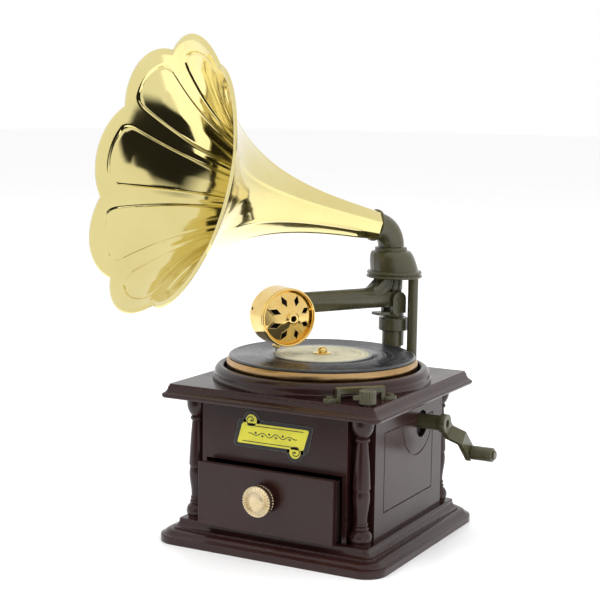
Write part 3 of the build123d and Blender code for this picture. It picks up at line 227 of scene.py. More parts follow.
materials = {
    "cabinet_gloss": finish_of("cabinet_plastic", (0.026, 0.0088, 0.0078), (0.020, 0.0068, 0.0062),
                               (0.10, 0.048, 0.036), (0.2, 0.28), patch=26, grain=420, relief=0.02,
                               scuffs=0.06),
    "cabinet_inner": finish_of("inner_plastic", (0.022, 0.011, 0.010), (0.016, 0.008, 0.008),
                               (0.07, 0.04, 0.035), (0.42, 0.6), patch=40, grain=1100, relief=0.04),
    "label_black": finish_of("label_ground", (0.006, 0.006, 0.006), (0.010, 0.010, 0.009),
                             (0.55, 0.53, 0.42), (0.3, 0.42), patch=70, relief=0.008),
    "label_yellow": finish_of("label_print", (0.70, 0.66, 0.045), (0.62, 0.57, 0.04),
                              (0.86, 0.83, 0.32), (0.3, 0.44), patch=110, relief=0.01),
    "horn_gold": finish_of("horn_plating", (0.80, 0.70, 0.32), (0.74, 0.63, 0.27),
                           (0.95, 0.86, 0.5), (0.05, 0.12), metal=1.0, patch=22, grain=160,
                           relief=0.008, scuffs=0.05, edge_wear=0.3),
    "box_gold": finish_of("sound_box_plating", (0.88, 0.66, 0.25), (0.78, 0.52, 0.17),
                          (0.98, 0.86, 0.5), (0.05, 0.13), metal=1.0, patch=60, grain=500,
                          relief=0.006, scuffs=0.05),
    # the platter is the one node in the CAD's gold slot that keeps its own mesh
    "gold": finish_of("platter_bronze", (0.56, 0.36, 0.17), (0.43, 0.27, 0.12), (0.75, 0.55, 0.3),
                      (0.28, 0.42), metal=1.0, patch=50, grain=1500, relief=0.015, scuffs=0.08),
    "knob_gold": finish_of("knob_plating", (0.78, 0.66, 0.44), (0.62, 0.50, 0.30),
                           (0.95, 0.88, 0.7), (0.16, 0.3), metal=1.0, patch=120, grain=1600,
                           relief=0.015),
    "record_black": record_vinyl(),
    "record_label_cream": label_paper(),
    "olive": finish_of("olive_plastic", (0.066, 0.061, 0.030), (0.052, 0.048, 0.024),
                       (0.19, 0.18, 0.10), (0.2, 0.3), patch=40, grain=650, relief=0.015,
                       scuffs=0.08),
    "steel": finish_of("turned_steel", (0.58, 0.58, 0.57), (0.44, 0.44, 0.43), (0.8, 0.8, 0.8),
                       (0.2, 0.36), metal=1.0, patch=90, grain=2200, relief=0.01,
                       stretch=(1, 1, 8)),
    "movement_brass": finish_of("movement_brass", (0.66, 0.48, 0.19), (0.5, 0.34, 0.12),
                                (0.85, 0.7, 0.4), (0.2, 0.38), metal=1.0, patch=80, grain=1800,
                                relief=0.012, stretch=(6, 1, 1)),
    "movement_plastic": finish_of("movement_plastic", (0.022, 0.022, 0.023), (0.03, 0.03, 0.03),
                                  (0.1, 0.1, 0.1), (0.36, 0.5), patch=60, grain=1300, relief=0.03),
    "zinc": finish_of("cast_zinc", (0.36, 0.36, 0.37), (0.27, 0.27, 0.28), (0.6, 0.6, 0.6),
                      (0.35, 0.55), metal=1.0, patch=70, grain=900, relief=0.05),
    "diaphragm_dark": finish_of("diaphragm", (0.02, 0.014, 0.01), (0.03, 0.02, 0.012),
                                (0.1, 0.08, 0.05), (0.4, 0.6), patch=90, grain=1500, relief=0.03),
}
# golds of this script's own pieces, which all belong to the CAD's gold slot
cabinet_shader = materials["cabinet_gloss"].node_tree.nodes["Principled BSDF"]
cabinet_shader.inputs["Specular IOR Level"].default_value = 0.36
ink = finish_of("printed_ink", (0.02, 0.018, 0.01), (0.035, 0.03, 0.014), (0.1, 0.09, 0.04),
                (0.35, 0.5), patch=200, relief=0.005)
# near-black for painted shade: the dark inside of the sound box's vent
shadow_black = finish_of("painted_shade_black", (0.006, 0.005, 0.005), (0.01, 0.008, 0.008),
                         (0.03, 0.02, 0.02), (0.5, 0.7), patch=90, relief=0.02)


# ---- mesh helpers --------------------------------------------------------------------------
def compass(azimuth, rise=0.0):
    """Unit direction, azimuth in degrees from -Y towards -X."""
    a, r = math.radians(azimuth), math.radians(rise)
    return Vector((-math.sin(a) * math.cos(r), -math.cos(a) * math.cos(r), math.sin(r)))


def frame_at(origin, x_dir, z_dir):
    """Matrix, in millimetres, of a frame with the given X and Z directions."""
    z_axis = Vector(z_dir).normalized()
    x_axis = Vector(x_dir).normalized()
    y_axis = z_axis.cross(x_axis)
    matrix = Matrix((x_axis, y_axis, z_axis)).transposed().to_4x4()
    matrix.translation = Vector(origin)
    return matrix


def piece(name, points, faces, body, slot, replaces=(), at=None, sharp=32.0, material=None):
    """Make a mesh piece from points in millimetres and hang it on its CAD body."""
    points = np.asarray(points, float).reshape(-1, 3)
    if at is not None:
        rotation = np.array(at.to_3x3())
        points = points @ rotation.T + np.array(at.translation)
    mesh = bpy.data.meshes.new(name)
    mesh.from_pydata([tuple(p) for p in points * MM], [], faces)
    mesh.validate()
    solid = bmesh.new()
    solid.from_mesh(mesh)
    bmesh.ops.remove_doubles(solid, verts=solid.verts, dist=2e-7)
    bmesh.ops.recalc_face_normals(solid, faces=solid.faces)
    solid.to_mesh(mesh)
    solid.free()
    mesh.shade_smooth()
    mesh.set_sharp_from_angle(angle=math.radians(sharp))
    shape = bpy.data.objects.new(name, mesh)
    bpy.context.scene.collection.objects.link(shape)
    mesh.materials.append(material or materials[slot])
    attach(shape, body)
    if replaces:
        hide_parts(*replaces)
    return shape


def bevelled(shape, width):
    """Round a piece's sharp edges by width millimetres."""
    bevel = shape.modifiers.new("rounded", "BEVEL")
    bevel.width = width * MM
    bevel.segments = 2
    bevel.limit_method = "ANGLE"
    bevel.angle_limit = math.radians(35)
    bevel.harden_normals = True


def skin(rings, closed_along=False):
    """Points and faces of a surface through closed rings of equal length."""
    rings = np.asarray(rings, float)
    count, around = rings.shape[:2]
    faces = []
    for i in range(count if closed_along else count - 1):
        following = (i + 1) % count
        for j in range(around):
            beside = (j + 1) % around
            faces.append((i * around + j, i * around + beside, following * around + beside,
                          following * around + j))
    return rings.reshape(-1, 3), faces


def capped(rings):
    """A closed tube of rings, with its two ends filled."""
    points, faces = skin(rings)
    around = np.asarray(rings).shape[1]
    count = len(points) // around
    faces.append(tuple(range(around))[::-1])
    faces.append(tuple((count - 1) * around + j for j in range(around)))
    return points, faces


def gather(store, store_faces, points, faces):
    """Add one mesh to a list that becomes a single piece."""
    start = sum(len(p) for p in store)
    store.append(np.asarray(points, float))
    store_faces.extend(tuple(start + k for k in f) for f in faces)


def ring(angles, radius, height):
    """Points at those angles round Z; radius and height are numbers, or one for each angle."""
    return np.stack([radius * np.cos(angles), radius * np.sin(angles),
                     np.broadcast_to(height, angles.shape)], 1)


def turned(profile, segments=96, wobble=None):
    """Rings of a turned shape from (radius, height) pairs.

    Where given, wobble(radius, height, angles) returns a radius and height for each angle.
    """
    angles = np.arange(segments) * TURN / segments
    rings = []
    for radius, height in profile:
        reach, lift = wobble(radius, height, angles) if wobble else (radius, height)
        rings.append(ring(angles, reach, lift))
    return rings


def arc(centre, radius, start, end, steps=6):
    """Points of an arc, angles in degrees."""
    return [(centre[0] + radius * math.cos(a), centre[1] + radius * math.sin(a))
            for a in map(math.radians, np.linspace(start, end, steps))]


def flow(points, steps=6):
    """Smooth path through points (Catmull-Rom)."""
    nodes = [np.array(p, float) for p in points]
    nodes = [2 * nodes[0] - nodes[1]] + nodes + [2 * nodes[-1] - nodes[-2]]
    path = []
    for i in range(1, len(nodes) - 2):
        for t in np.linspace(0, 1, steps, endpoint=False):
            a, b, c, d = nodes[i - 1:i + 3]
            path.append(tuple(0.5 * (2 * b + (c - a) * t + (2 * a - 5 * b + 4 * c - d) * t * t
                                     + (3 * b - a - 3 * c + d) * t ** 3)))
    path.append(tuple(nodes[-2]))
    return path


def plate(outline, depth):
    """Rings of a flat plate with that outline, from z 0 to depth."""
    low = np.array([(x, y, 0.0) for x, y in outline])
    high = low + (0, 0, depth)
    return [low, high]


def tube(path, radii, around):
    """Rings of a round tube along a path of points in millimetres, with a radius for each."""
    path = [Vector(p) for p in path]
    angles = np.arange(around) * TURN / around
    rings = []
    side = None
    for i, point in enumerate(path):
        ahead = (path[min(i + 1, len(path) - 1)] - path[max(i - 1, 0)]).normalized()
        if side is None:
            side = ahead.orthogonal().normalized()
        side = (side - ahead * side.dot(ahead)).normalized()
        up = ahead.cross(side)
        rings.append(np.array([tuple(point + (side * math.cos(a) + up * math.sin(a)) * radii[i])
                               for a in angles]))
    return rings


def soften(name, width):
    """Round a CAD node's sharp edges by width millimetres, as moulding and paint do."""
    node = frame["nodes"][name]
    weld = node.modifiers.new("weld", "WELD")
    weld.merge_threshold = 0.001 * MM
    flat = node.modifiers.new("flat", "DECIMATE")
    flat.decimate_type = "DISSOLVE"
    flat.angle_limit = math.radians(0.4)
    bevelled(node, width)


# ---- CAD nodes: procedural material for every one, softened edges for the visible ones -----
SOFTENED = {"base_plinth": 0.25, "lid": 0.25, "cabinet_shell": 0.25, "drawer_tray": 0.3,
            "turntable_surround": 0.2, "tonearm_yoke": 0.35, "regulator_bridge": 0.3,
            "crank_arm": 0.5, "tonearm_tube": 0.4, "drawer_front": 0.25}
slot_of = {entry["node"]: entry["material_slot"] for entry in frame["record"]["subparts"]}
for name, node in frame["nodes"].items():
    node.data.materials.clear()
    node.data.materials.append(materials[slot_of[name]])
for name, width in SOFTENED.items():
    soften(name, width)


# ---- horn: eight embossed petals on a faceted flaring neck ---------------------------------
HORN_AZIMUTH, HORN_RISE = 27.5, 12.5
PIPE, LEAN = (14.6, 47.6), 2.4
BEND, BEND_STEPS = math.radians(90 - HORN_RISE), 22
BEND_RADIUS, BEND_START, SOCKET = 10.5, 133.4, 2.6
# the bell's radius is NECK at its foot and grows by FLARE * (exp(RATE * s) - 1) along its axis
NECK, FLARE, RATE, BELL_WALL, WALL_SHARE = 7.3, 1.84, 0.0282, 1.2, 0.92
# a petal's rim is an arc of radius LOBE that reaches TIP from the axis
PETALS, LOBE, TIP, FIRST_PETAL = 8, 31.0, 62.8, math.radians(35.6)
BORDER, BAND_ANGLE = 5.2, math.radians(6.3)
# the neck is flattened into facets that fade out towards the mouth, with a ridge between two
FACET, FACET_END, FACET_FADE = 0.6, 108, 50
RIDGE, RIDGE_WIDE = 0.30, 0.55
# relief on the mouth side: the raised border, the line pressed along it and the petal's hollow
RAISED, CREASE, PILLOW, ROUND_OFF = 0.38, 0.42, 0.5, 4.0
horn_flat, horn_axis = compass(HORN_AZIMUTH), compass(HORN_AZIMUTH, HORN_RISE)
elbow_foot = Vector((*PIPE, 0)) + horn_flat * LEAN


def on_bend(turn):
    """Point of the elbow's centre line, turn radians round its bend."""
    return (elbow_foot + Vector((0, 0, BEND_START + BEND_RADIUS * math.sin(turn)))
            + horn_flat * BEND_RADIUS * (1 - math.cos(turn)))


def spaced(start, end, marks, coarse, fine, reach):
    """Numbers from start to end, closer together near the marks."""
    values = [start]
    while values[-1] < end:
        near = min(abs(values[-1] - m) for m in marks)
        values.append(values[-1] + (fine if near < reach else coarse))
    return np.array(values[:-1] + [end])


def flare(s):
    """Radius of the bell at a distance s along its axis."""
    return NECK + FLARE * (np.exp(RATE * s) - 1)


def slope(s):
    """How fast the bell widens at s."""
    return FLARE * RATE * np.exp(RATE * s)


def reach_of(radius):
    """Distance along the axis where the flare has that radius."""
    return np.log((radius - NECK) / FLARE + 1) / RATE


bend_end = on_bend(BEND)
horn_place = frame_at(bend_end + horn_axis * SOCKET, horn_flat.cross(Vector((0, 0, 1))), horn_axis)
half_petal = TURN / PETALS / 2
side_line = half_petal - BAND_ANGLE
one_petal = spaced(-half_petal, half_petal, (-side_line, side_line), 0.024, 0.0065, 0.03)[:-1]
petal_angle = np.tile(one_petal, PETALS)
round_angle = np.concatenate([FIRST_PETAL + i * 2 * half_petal + one_petal for i in range(PETALS)])
rim = ((TIP - LOBE) * np.cos(petal_angle)
       + np.sqrt(LOBE ** 2 - ((TIP - LOBE) * np.sin(petal_angle)) ** 2))
rim_reach = reach_of(rim - 0.15)
share = np.concatenate([np.linspace(0, 0.9, 62)[:-1], np.linspace(0.9, 0.985, 34)[:-1],
                        np.linspace(0.985, 1, 5)])
outer, inner = [], []
for portion in share:
    s = rim_reach * portion
    base = flare(s)
    facet = (FACET * np.clip((FACET_END - s) / FACET_FADE, 0, 1)
             * (1 - math.cos(half_petal) / np.cos(petal_angle)))
    ridge = RIDGE * np.exp(-((half_petal - np.abs(petal_angle)) * base / RIDGE_WIDE) ** 2)
    ridge = ridge * np.clip((s - 4) / 8, 0, 1) * np.clip((rim_reach - s) / 6, 0, 1)
    outer.append(ring(round_angle, base * (1 - facet) + ridge, s))

    # inside: distance in from the petal's pressed line, blended where its sides meet its top
    side = base * np.sin(side_line - np.abs(petal_angle))
    across, along = base * np.sin(petal_angle), base * np.cos(petal_angle) - (TIP - LOBE)
    top = LOBE - BORDER - np.where(along < 0, np.abs(across), np.hypot(across, along))
    blend = np.clip(0.5 + 0.5 * (side - top) / ROUND_OFF, 0, 1)
    inside = side * (1 - blend) + top * blend - ROUND_OFF * blend * (1 - blend)
    fade = np.clip((base - 8.5) / 9, 0, 1)
    raised = RAISED / (1 + np.exp(np.clip(inside / 0.22, -40, 40)))
    line = CREASE * np.exp(-((inside - 0.35) / 0.36) ** 2)
    pillow = -PILLOW * np.clip(inside / 9, 0, 1)
    relief = (raised - line) * fade + pillow * fade

    # the relief stands square to the flare, so it moves a point along the axis too
    tilt = np.hypot(1, slope(s))
    bore = base * (1 - facet) - BELL_WALL * tilt * WALL_SHARE - relief / tilt
    inner.append(ring(round_angle, bore, s + relief * slope(s) / tilt))
lip = [ring(round_angle, rim - 0.02, rim_reach + 0.2),
       ring(round_angle, rim - 0.35, rim_reach + 0.45)]
points, faces = skin(outer + lip + inner[::-1], closed_along=True)
piece("horn", points, faces, "horn", "horn_gold", ["horn_bell"], horn_place, sharp=50)


# ---- elbow and coupling --------------------------------------------------------------------
COLLAR = ((0.8, 6.45), (1.2, 6.6), (1.3, 7.5), (1.7, 7.8), (2.4, 7.8), (SOCKET, 7.6))
SEAM_ANGLE, SEAM_HIGH, SEAM_WIDE = math.radians(-118), 0.28, 0.45
DOME_FOOT, DOME_TALL = 121.3, 9.7

elbow_path = [elbow_foot + Vector((0, 0, 129.0)), elbow_foot + Vector((0, 0, BEND_START - 0.2))]
elbow_path += [on_bend(turn) for turn in np.linspace(0, BEND, BEND_STEPS)]
elbow_path += [bend_end + horn_axis * step for step, radius in COLLAR]
elbow_radius = [5.0, 5.0] + [6.4] * BEND_STEPS + [radius for step, radius in COLLAR]
points, faces = capped(tube(elbow_path, elbow_radius, 48))
piece("elbow", points, faces, "horn", "olive", ["horn_elbow"])


def seam(radius, height, angles):
    """Mould seam down one side of the coupling."""
    away = (angles - SEAM_ANGLE + math.pi) % TURN - math.pi
    bead = SEAM_HIGH * np.exp(-(away * radius / SEAM_WIDE) ** 2)
    on_dome = radius > 9.9 and 121.2 < height < 131.5
    return radius + bead * on_dome, height


outside = ([(10.3, 118.0), (13.1, 118.0)] + arc((13.1, 118.65), 0.65, -90, 90, 9)
           + [(12.9, 119.35), (12.75, 119.7)] + arc((12.75, 120.5), 0.75, -80, 90, 8)
           + [(12.0, 121.3)]
           + flow([(11.75, 121.5), (11.6, 123.5), (11.25, 126.0), (10.75, 128.4), (10.1, 130.0)], 5)
           + flow([(10.1, 130.0), (9.5, 130.9), (8.5, 131.2)], 4) + [(7.9, 131.25), (7.9, 132.4)]
           + arc((7.4, 132.5), 0.5, 0, 90, 5) + [(5.1, 133.0)])
inside = ([(5.1, 128.5), (7.4, 128.4)] + flow([(7.4, 128.4), (9.5, 125.8), (10.2, 122.8)], 5)
          + [(10.3, 118.6)])
points, faces = skin(turned(outside + inside, 180, seam), closed_along=True)
leaning = np.clip((points[:, 2] - DOME_FOOT) / DOME_TALL, 0, 1) * LEAN
points = points + np.array(horn_flat) * leaning[:, None]
piece("coupling", points, faces, "cabinet", "olive", ["horn_coupling"],
      Matrix.Translation((*PIPE, 0)), sharp=40)


# ---- record, its label and the spindle knob ------------------------------------------------
RECORD_TOP, RECORD_THICK, RECORD_EDGE, LABEL_THICK = 85.3, 1.4, 43.4, 0.12
SPINDLE_HOLE, GROOVED = 1.5, RECORD_TOP - 0.2
GROOVES_FROM, GROOVES_TO, GROOVE_STEP = 42.1, 27.0, 0.42

record_foot = RECORD_TOP - RECORD_THICK
groove_profile = [(SPINDLE_HOLE, record_foot), (RECORD_EDGE, record_foot)]
groove_profile += arc((RECORD_EDGE, RECORD_TOP - 0.75), 0.6, -90, 80, 8)
groove_profile += [(43.1, RECORD_TOP), (42.6, RECORD_TOP - 0.02), (42.3, RECORD_TOP - 0.22)]
for step in np.arange(GROOVES_FROM, GROOVES_TO, -GROOVE_STEP):
    # a deeper groove now and then parts one tune from the next
    deep = 0.16 if int(step * 10) % 37 < 4 else 0.07
    groove_profile += [(step, GROOVED), (step - GROOVE_STEP / 2, GROOVED - deep)]
groove_profile += [(26.8, GROOVED), (25.2, GROOVED), (24.9, RECORD_TOP), (SPINDLE_HOLE, RECORD_TOP)]
points, faces = skin(turned(groove_profile, 160), closed_along=True)
piece("record", points, faces, "turntable", "record_black", ["record_disc"], sharp=60)

cap = RECORD_TOP + LABEL_THICK
label_profile = [(SPINDLE_HOLE, RECORD_TOP), (23.4, RECORD_TOP), (23.5, RECORD_TOP + 0.06),
                 (23.35, cap), (21.6, cap), (21.4, cap - 0.03), (3.0, cap - 0.02),
                 (SPINDLE_HOLE, cap)]
points, faces = skin(turned(label_profile, 128), closed_along=True)
piece("record_paper", points, faces, "turntable", "record_label_cream", ["record_label"])

cap_profile = ([(1.52, cap), (4.1, cap)] + arc((4.0, cap + 0.3), 0.3, -60, 80, 5)
               + flow([(3.9, cap + 0.62), (3.0, cap + 0.85), (2.45, cap + 1.15)], 4)
               + flow([(2.3, cap + 1.3), (2.25, cap + 2.0), (1.6, cap + 2.85), (0.7, cap + 3.15),
                       (0.0, cap + 3.2)], 5)
               + [(0.0, cap + 1.1), (1.52, cap + 1.08)])
points, faces = skin(turned(cap_profile, 64), closed_along=True)
piece("spindle_knob", points, faces, "turntable", "box_gold", ["spindle_cap"])


# ---- sound box -----------------------------------------------------------------------------
ARM_AZIMUTH, ARM_LENGTH = 29.8, 66.2
BOX_AZIMUTH, BOX_HEIGHT, BOX_INSET = 56.0, 103.6, 3.3
BOX_RADIUS, BOX_DEPTH = 13.7, 14.6
VENT_ANGLE, VENT_HEIGHT = math.radians(75), 2.4
box_facing = compass(-BOX_AZIMUTH)
box_centre = Vector((*PIPE, BOX_HEIGHT)) + compass(ARM_AZIMUTH) * ARM_LENGTH
box_place = frame_at(box_centre - box_facing * BOX_INSET, (0, 0, 1), box_facing)

case_profile = ([(0.0, 0.0), (8.0, 0.0), (8.3, 0.25), (12.7, 0.25)]
                + arc((12.9, 0.8), 0.8, -75, 0, 6)
                + [(BOX_RADIUS, 1.2), (BOX_RADIUS, 12.9), (BOX_RADIUS - 0.18, 13.1),
                   (BOX_RADIUS - 0.18, 13.4), (BOX_RADIUS, 13.6)]
                + arc((BOX_RADIUS - 0.55, BOX_DEPTH - 0.55), 0.55, 0, 180, 9)
                + [(BOX_RADIUS - 1.1, 12.0), (12.5, 11.8), (12.5, 1.4), (0.0, 1.4)])
points, faces = skin(turned(case_profile, 144), closed_along=True)
piece("sound_box", points, faces, "tonearm", "box_gold", ["sound_box_case"], box_place, sharp=40)

# the vent is a flat dark disc on the drum's side, painted shade standing for the hole's inside
vent_side = Vector((math.cos(VENT_ANGLE), math.sin(VENT_ANGLE), 0))
vent_out = box_place.to_3x3() @ vent_side
vent_foot = box_place @ (vent_side * BOX_RADIUS + Vector((0, 0, VENT_HEIGHT))) - vent_out * 0.2
points, faces = capped(turned([(0.0, 0.0), (0.55, 0.0), (0.75, 0.1), (0.75, 0.25)], 20))
piece("sound_box_vent", points, faces, "tonearm", "diaphragm_dark", (),
      frame_at(vent_foot, vent_out.orthogonal(), vent_out), material=shadow_black)

CONE_OUT, CONE_IN, CONE_FOOT, CONE_RISE, CONE_CROWN, CONE_WALL = 12.5, 2.0, 13.0, 4.9, 0.25, 0.8
CONE_STEPS, CONE_AROUND = 60, 384
DIAMOND_PITCH, FIRST_DIAMOND = TURN / 8, math.radians(22.5)
DIAMOND_R, DIAMOND_LONG, DIAMOND_WIDE = 8.4, 2.6, 1.4
radii = np.linspace(CONE_OUT, CONE_IN, CONE_STEPS)
cone_angles = np.arange(CONE_AROUND) * TURN / CONE_AROUND


def height_of(radius):
    """Front face of the cone above the drum's back."""
    inward = (CONE_OUT - radius) / (CONE_OUT - CONE_IN)
    return CONE_FOOT + CONE_RISE * inward + CONE_CROWN * math.sin(math.pi * inward)


def diamond(radius, angles):
    """Below 1 inside a diamond opening, 1 on its outline and more outside."""
    offset = (angles - FIRST_DIAMOND) % DIAMOND_PITCH
    offset = np.minimum(offset, DIAMOND_PITCH - offset)
    return np.abs(radius - DIAMOND_R) / DIAMOND_LONG + radius * offset / DIAMOND_WIDE


def pierced_cone():
    """Faces of the cone's two skins without the diamonds, and walls round each opening."""
    faces = []
    half = CONE_STEPS * CONE_AROUND
    cell_angles = cone_angles + TURN / CONE_AROUND / 2
    open_cell = np.array([diamond(middle, cell_angles) < 1
                          for middle in (radii[:-1] + radii[1:]) / 2])
    for i in range(CONE_STEPS - 1):
        for j in range(CONE_AROUND):
            beside = (j + 1) % CONE_AROUND
            a, b = i * CONE_AROUND + j, i * CONE_AROUND + beside
            c, d = b + CONE_AROUND, a + CONE_AROUND
            if open_cell[i, j]:
                for first, second, row, column in ((a, b, i - 1, j), (b, c, i, beside),
                                                   (c, d, i + 1, j), (d, a, i, j - 1)):
                    if not open_cell[row, column]:
                        faces.append((first, second, second + half, first + half))
                continue
            faces.append((a, d, c, b))
            faces.append((a + half, b + half, c + half, d + half))
    last = (CONE_STEPS - 1) * CONE_AROUND
    for j in range(CONE_AROUND):
        beside = (j + 1) % CONE_AROUND
        faces.append((j, beside, beside + half, j + half))
        faces.append((last + beside, last + j, last + j + half, last + beside + half))
    return faces


top_rows, low_rows = [], []
for radius in radii:
    lip = 0.16 * np.exp(-((diamond(radius, cone_angles) - 1.12) / 0.14) ** 2)
    top_rows.append(ring(cone_angles, radius, height_of(radius) + lip))
    low_rows.append(ring(cone_angles, radius, height_of(radius) - CONE_WALL))
piece("sound_box_grille", np.concatenate(top_rows + low_rows), pierced_cone(), "tonearm",
      "box_gold", ["sound_box_face"], box_place, sharp=45)

hub_profile = ([(1.3, 13.2), (1.9, 13.2), (1.9, 17.3), (3.1, 17.0)]
               + arc((2.85, 17.6), 0.5, -60, 60, 7)
               + flow([(2.95, 18.15), (2.5, 18.7), (1.95, 18.85)], 4)
               + arc((1.65, 18.55), 0.33, 80, 180, 5) + [(1.3, 18.2)])
points, faces = skin(turned(hub_profile, 64), closed_along=True)
piece("sound_box_boss", points, faces, "tonearm", "box_gold", ["sound_box_hub"], box_place)

seat = box_centre - box_facing * 2.0 - Vector((0, 0, BOX_RADIUS))
clamp_parts, clamp_faces = [], []
for step in (-1.9, 0.0, 1.9):
    bead = turned([(0.0, -2.45)] + arc((0, -1.5), 0.95, -75, 75, 11) + [(0.0, -0.55)], 28)
    points, faces = capped(bead)
    gather(clamp_parts, clamp_faces, points + np.array((step, 0, 0)), faces)
bar = [np.array([(x, y, z) for x, y in ((-2.6, -0.65), (2.6, -0.65), (2.6, 0.65), (-2.6, 0.65))])
       for z in (-1.3, -0.02)]
gather(clamp_parts, clamp_faces, *capped(bar))
piece("needle_holder", np.concatenate(clamp_parts), clamp_faces, "tonearm", "box_gold",
      ["needle_clamp"], frame_at(seat, box_facing, (0, 0, 1)))

NEEDLE_CLEAR = 0.2
needle_tip = RECORD_TOP + NEEDLE_CLEAR
needle_profile = [(0.02, needle_tip), (0.12, needle_tip + 0.15), (0.3, needle_tip + 0.9),
                  (0.55, needle_tip + 1.5), (0.55, needle_tip + 2.1)]
points, faces = capped(turned(needle_profile, 20))
piece("stylus", points, faces, "tonearm", "steel", ["needle"],
      Matrix.Translation((seat.x, seat.y, 0)))


# ---- swan neck between the tonearm tube and the coupling ------------------------------------
arm_place = frame_at((*PIPE, 0), compass(ARM_AZIMUTH), (0, 0, 1))
neck_path = flow([(5.2, 117.3), (5.7, 115.2), (7.8, 112.6), (11.0, 110.3), (15.0, 109.0),
                  (20.0, 108.5)], 5)
neck_radii = list(np.interp(np.arange(len(neck_path)), [0, len(neck_path) - 1], [4.1, 4.9]))
points, faces = capped(tube([(x, 0, z) for x, z in neck_path], neck_radii, 40))
piece("swan_neck", points, faces, "tonearm", "olive", (), arm_place, sharp=40)


# ---- drawer knob ---------------------------------------------------------------------------
KNOB_FOOT, KNOB_HEIGHT = -54.4, 28.0
FLUTES, FLUTE_DEEP, RAY_DEEP = 32, 0.34, 0.45


def coin_edge(radius, height, angles):
    """Fine flutes on the rim and rays on the front."""
    wave = np.abs(np.sin(angles * (FLUTES // 2)))
    on_rim = np.clip((radius - 6.4) / 0.5, 0, 1) * (3.4 < height < 7.0)
    on_front = np.clip((radius - 3.6) / 0.5, 0, 1) * (height > 6.0)
    return radius - FLUTE_DEEP * on_rim * wave, height - RAY_DEEP * wave * on_front


knob_profile = ([(0.0, 0.0), (3.4, 0.0), (3.4, 0.6), (3.2, 0.9), (3.2, 1.4)]
                + flow([(3.2, 1.4), (3.5, 2.4), (4.6, 3.0), (6.0, 3.2)], 5)
                + arc((6.6, 3.7), 0.45, -80, 0, 4)
                + [(7.08, 4.2), (7.1, 4.8), (7.1, 5.6), (7.08, 6.2)]
                + arc((6.62, 6.7), 0.45, 0, 90, 5)
                + [(6.1, 7.1), (5.5, 6.95), (4.8, 6.8), (4.2, 6.65), (3.7, 6.55), (3.4, 6.5)]
                + arc((3.0, 6.65), 0.35, -20, 90, 5) + [(1.6, 7.1), (0.0, 7.15)])
points, faces = capped(turned(knob_profile, 384, coin_edge))
piece("pull_knob", points, faces, "drawer", "knob_gold", ["drawer_knob"],
      frame_at((0, KNOB_FOOT, KNOB_HEIGHT), (1, 0, 0), (0, -1, 0)), sharp=50)


# ---- regulator knob ------------------------------------------------------------------------
REGULATOR_OUT, RIBS, RIB_DEEP = 65.2 / math.sqrt(2), 18, 0.2


def ribbed(radius, height, angles):
    """Finger ribs round the knob's side."""
    on_side = radius > 3.3 and 75.0 < height < 80.0
    return radius - RIB_DEEP * on_side * (1 + np.cos(angles * RIBS)) / 2, height


regulator_profile = ([(1.6, 74.5), (3.3, 74.5)] + arc((3.45, 74.9), 0.4, -80, 0, 4)
                     + [(3.85, 75.2), (3.85, 79.2), (3.75, 79.7)]
                     + arc((3.3, 79.95), 0.4, 20, 90, 5)
                     + [(2.7, 80.3), (2.5, 80.1), (0.0, 80.1), (0.0, 78.6), (1.6, 78.6)])
regulator_parts, regulator_faces = [], []
gather(regulator_parts, regulator_faces,
       *skin(turned(regulator_profile, 216, ribbed), closed_along=True))
pointer = [np.array([(-3.0, -1.3, z), (-3.0, 1.3, z), (-6.5, 0.25, z), (-6.5, -0.25, z)])
           for z in (76.5, 78.3)]
gather(regulator_parts, regulator_faces, *capped(pointer))
regulator_place = frame_at((REGULATOR_OUT, -REGULATOR_OUT, 0), (1, 1, 0), (0, 0, 1))
bevelled(piece("regulator_dial", np.concatenate(regulator_parts), regulator_faces, "regulator",
               "olive", ["regulator_knob"], regulator_place, sharp=40), 0.12)


# ---- label on the front: slanted scroll with two curls, printed lines, no lettering --------
PANEL_FRONT, LABEL_Z, SHEAR = -46.3, 54.7, 1.4
CURLS = ((-11.0, 6.0), (11.4, -6.0))
front = frame_at((0, PANEL_FRONT, LABEL_Z), (1, 0, 0), (0, -1, 0))


def rounded(corners, radius, steps=6):
    """Outline with its corners rounded."""
    outline = []
    count = len(corners)
    for i in range(count):
        before, corner, after = (np.array(corners[k % count], float) for k in (i - 1, i, i + 1))
        start = corner + (before - corner) / np.linalg.norm(before - corner) * radius
        end = corner + (after - corner) / np.linalg.norm(after - corner) * radius
        for t in np.linspace(0, 1, steps):
            outline.append(tuple((1 - t) ** 2 * start + 2 * t * (1 - t) * corner + t * t * end))
    return outline


def slanted(half_wide, half_tall, radius):
    """Rounded parallelogram."""
    return rounded([(-half_wide - SHEAR, -half_tall), (half_wide - SHEAR, -half_tall),
                    (half_wide + SHEAR, half_tall), (-half_wide + SHEAR, half_tall)], radius)


def disc(centre, radius, steps=40):
    """Round outline."""
    return [(centre[0] + radius * math.cos(a), centre[1] + radius * math.sin(a))
            for a in np.arange(steps) * TURN / steps]


def layer(name, outlines, depth, lift, slot, replaces=(), material=None, bevel=0.06):
    """Flat shapes of one height on the front panel, as one piece."""
    store, store_faces = [], []
    for outline in outlines:
        points, faces = capped(plate(outline, depth))
        gather(store, store_faces, points + np.array((0, 0, lift)), faces)
    bevelled(piece(name, np.concatenate(store), store_faces, "cabinet", slot, replaces, front,
                   material=material), bevel)


def stripe(path, half):
    """Outline of a line of constant width along a path."""
    path = np.array(path, float)
    ahead = np.gradient(path, axis=0)
    ahead /= np.linalg.norm(ahead, axis=1)[:, None]
    across = np.stack([-ahead[:, 1], ahead[:, 0]], 1) * half
    return [tuple(p) for p in np.concatenate([path + across, (path - across)[::-1]])]


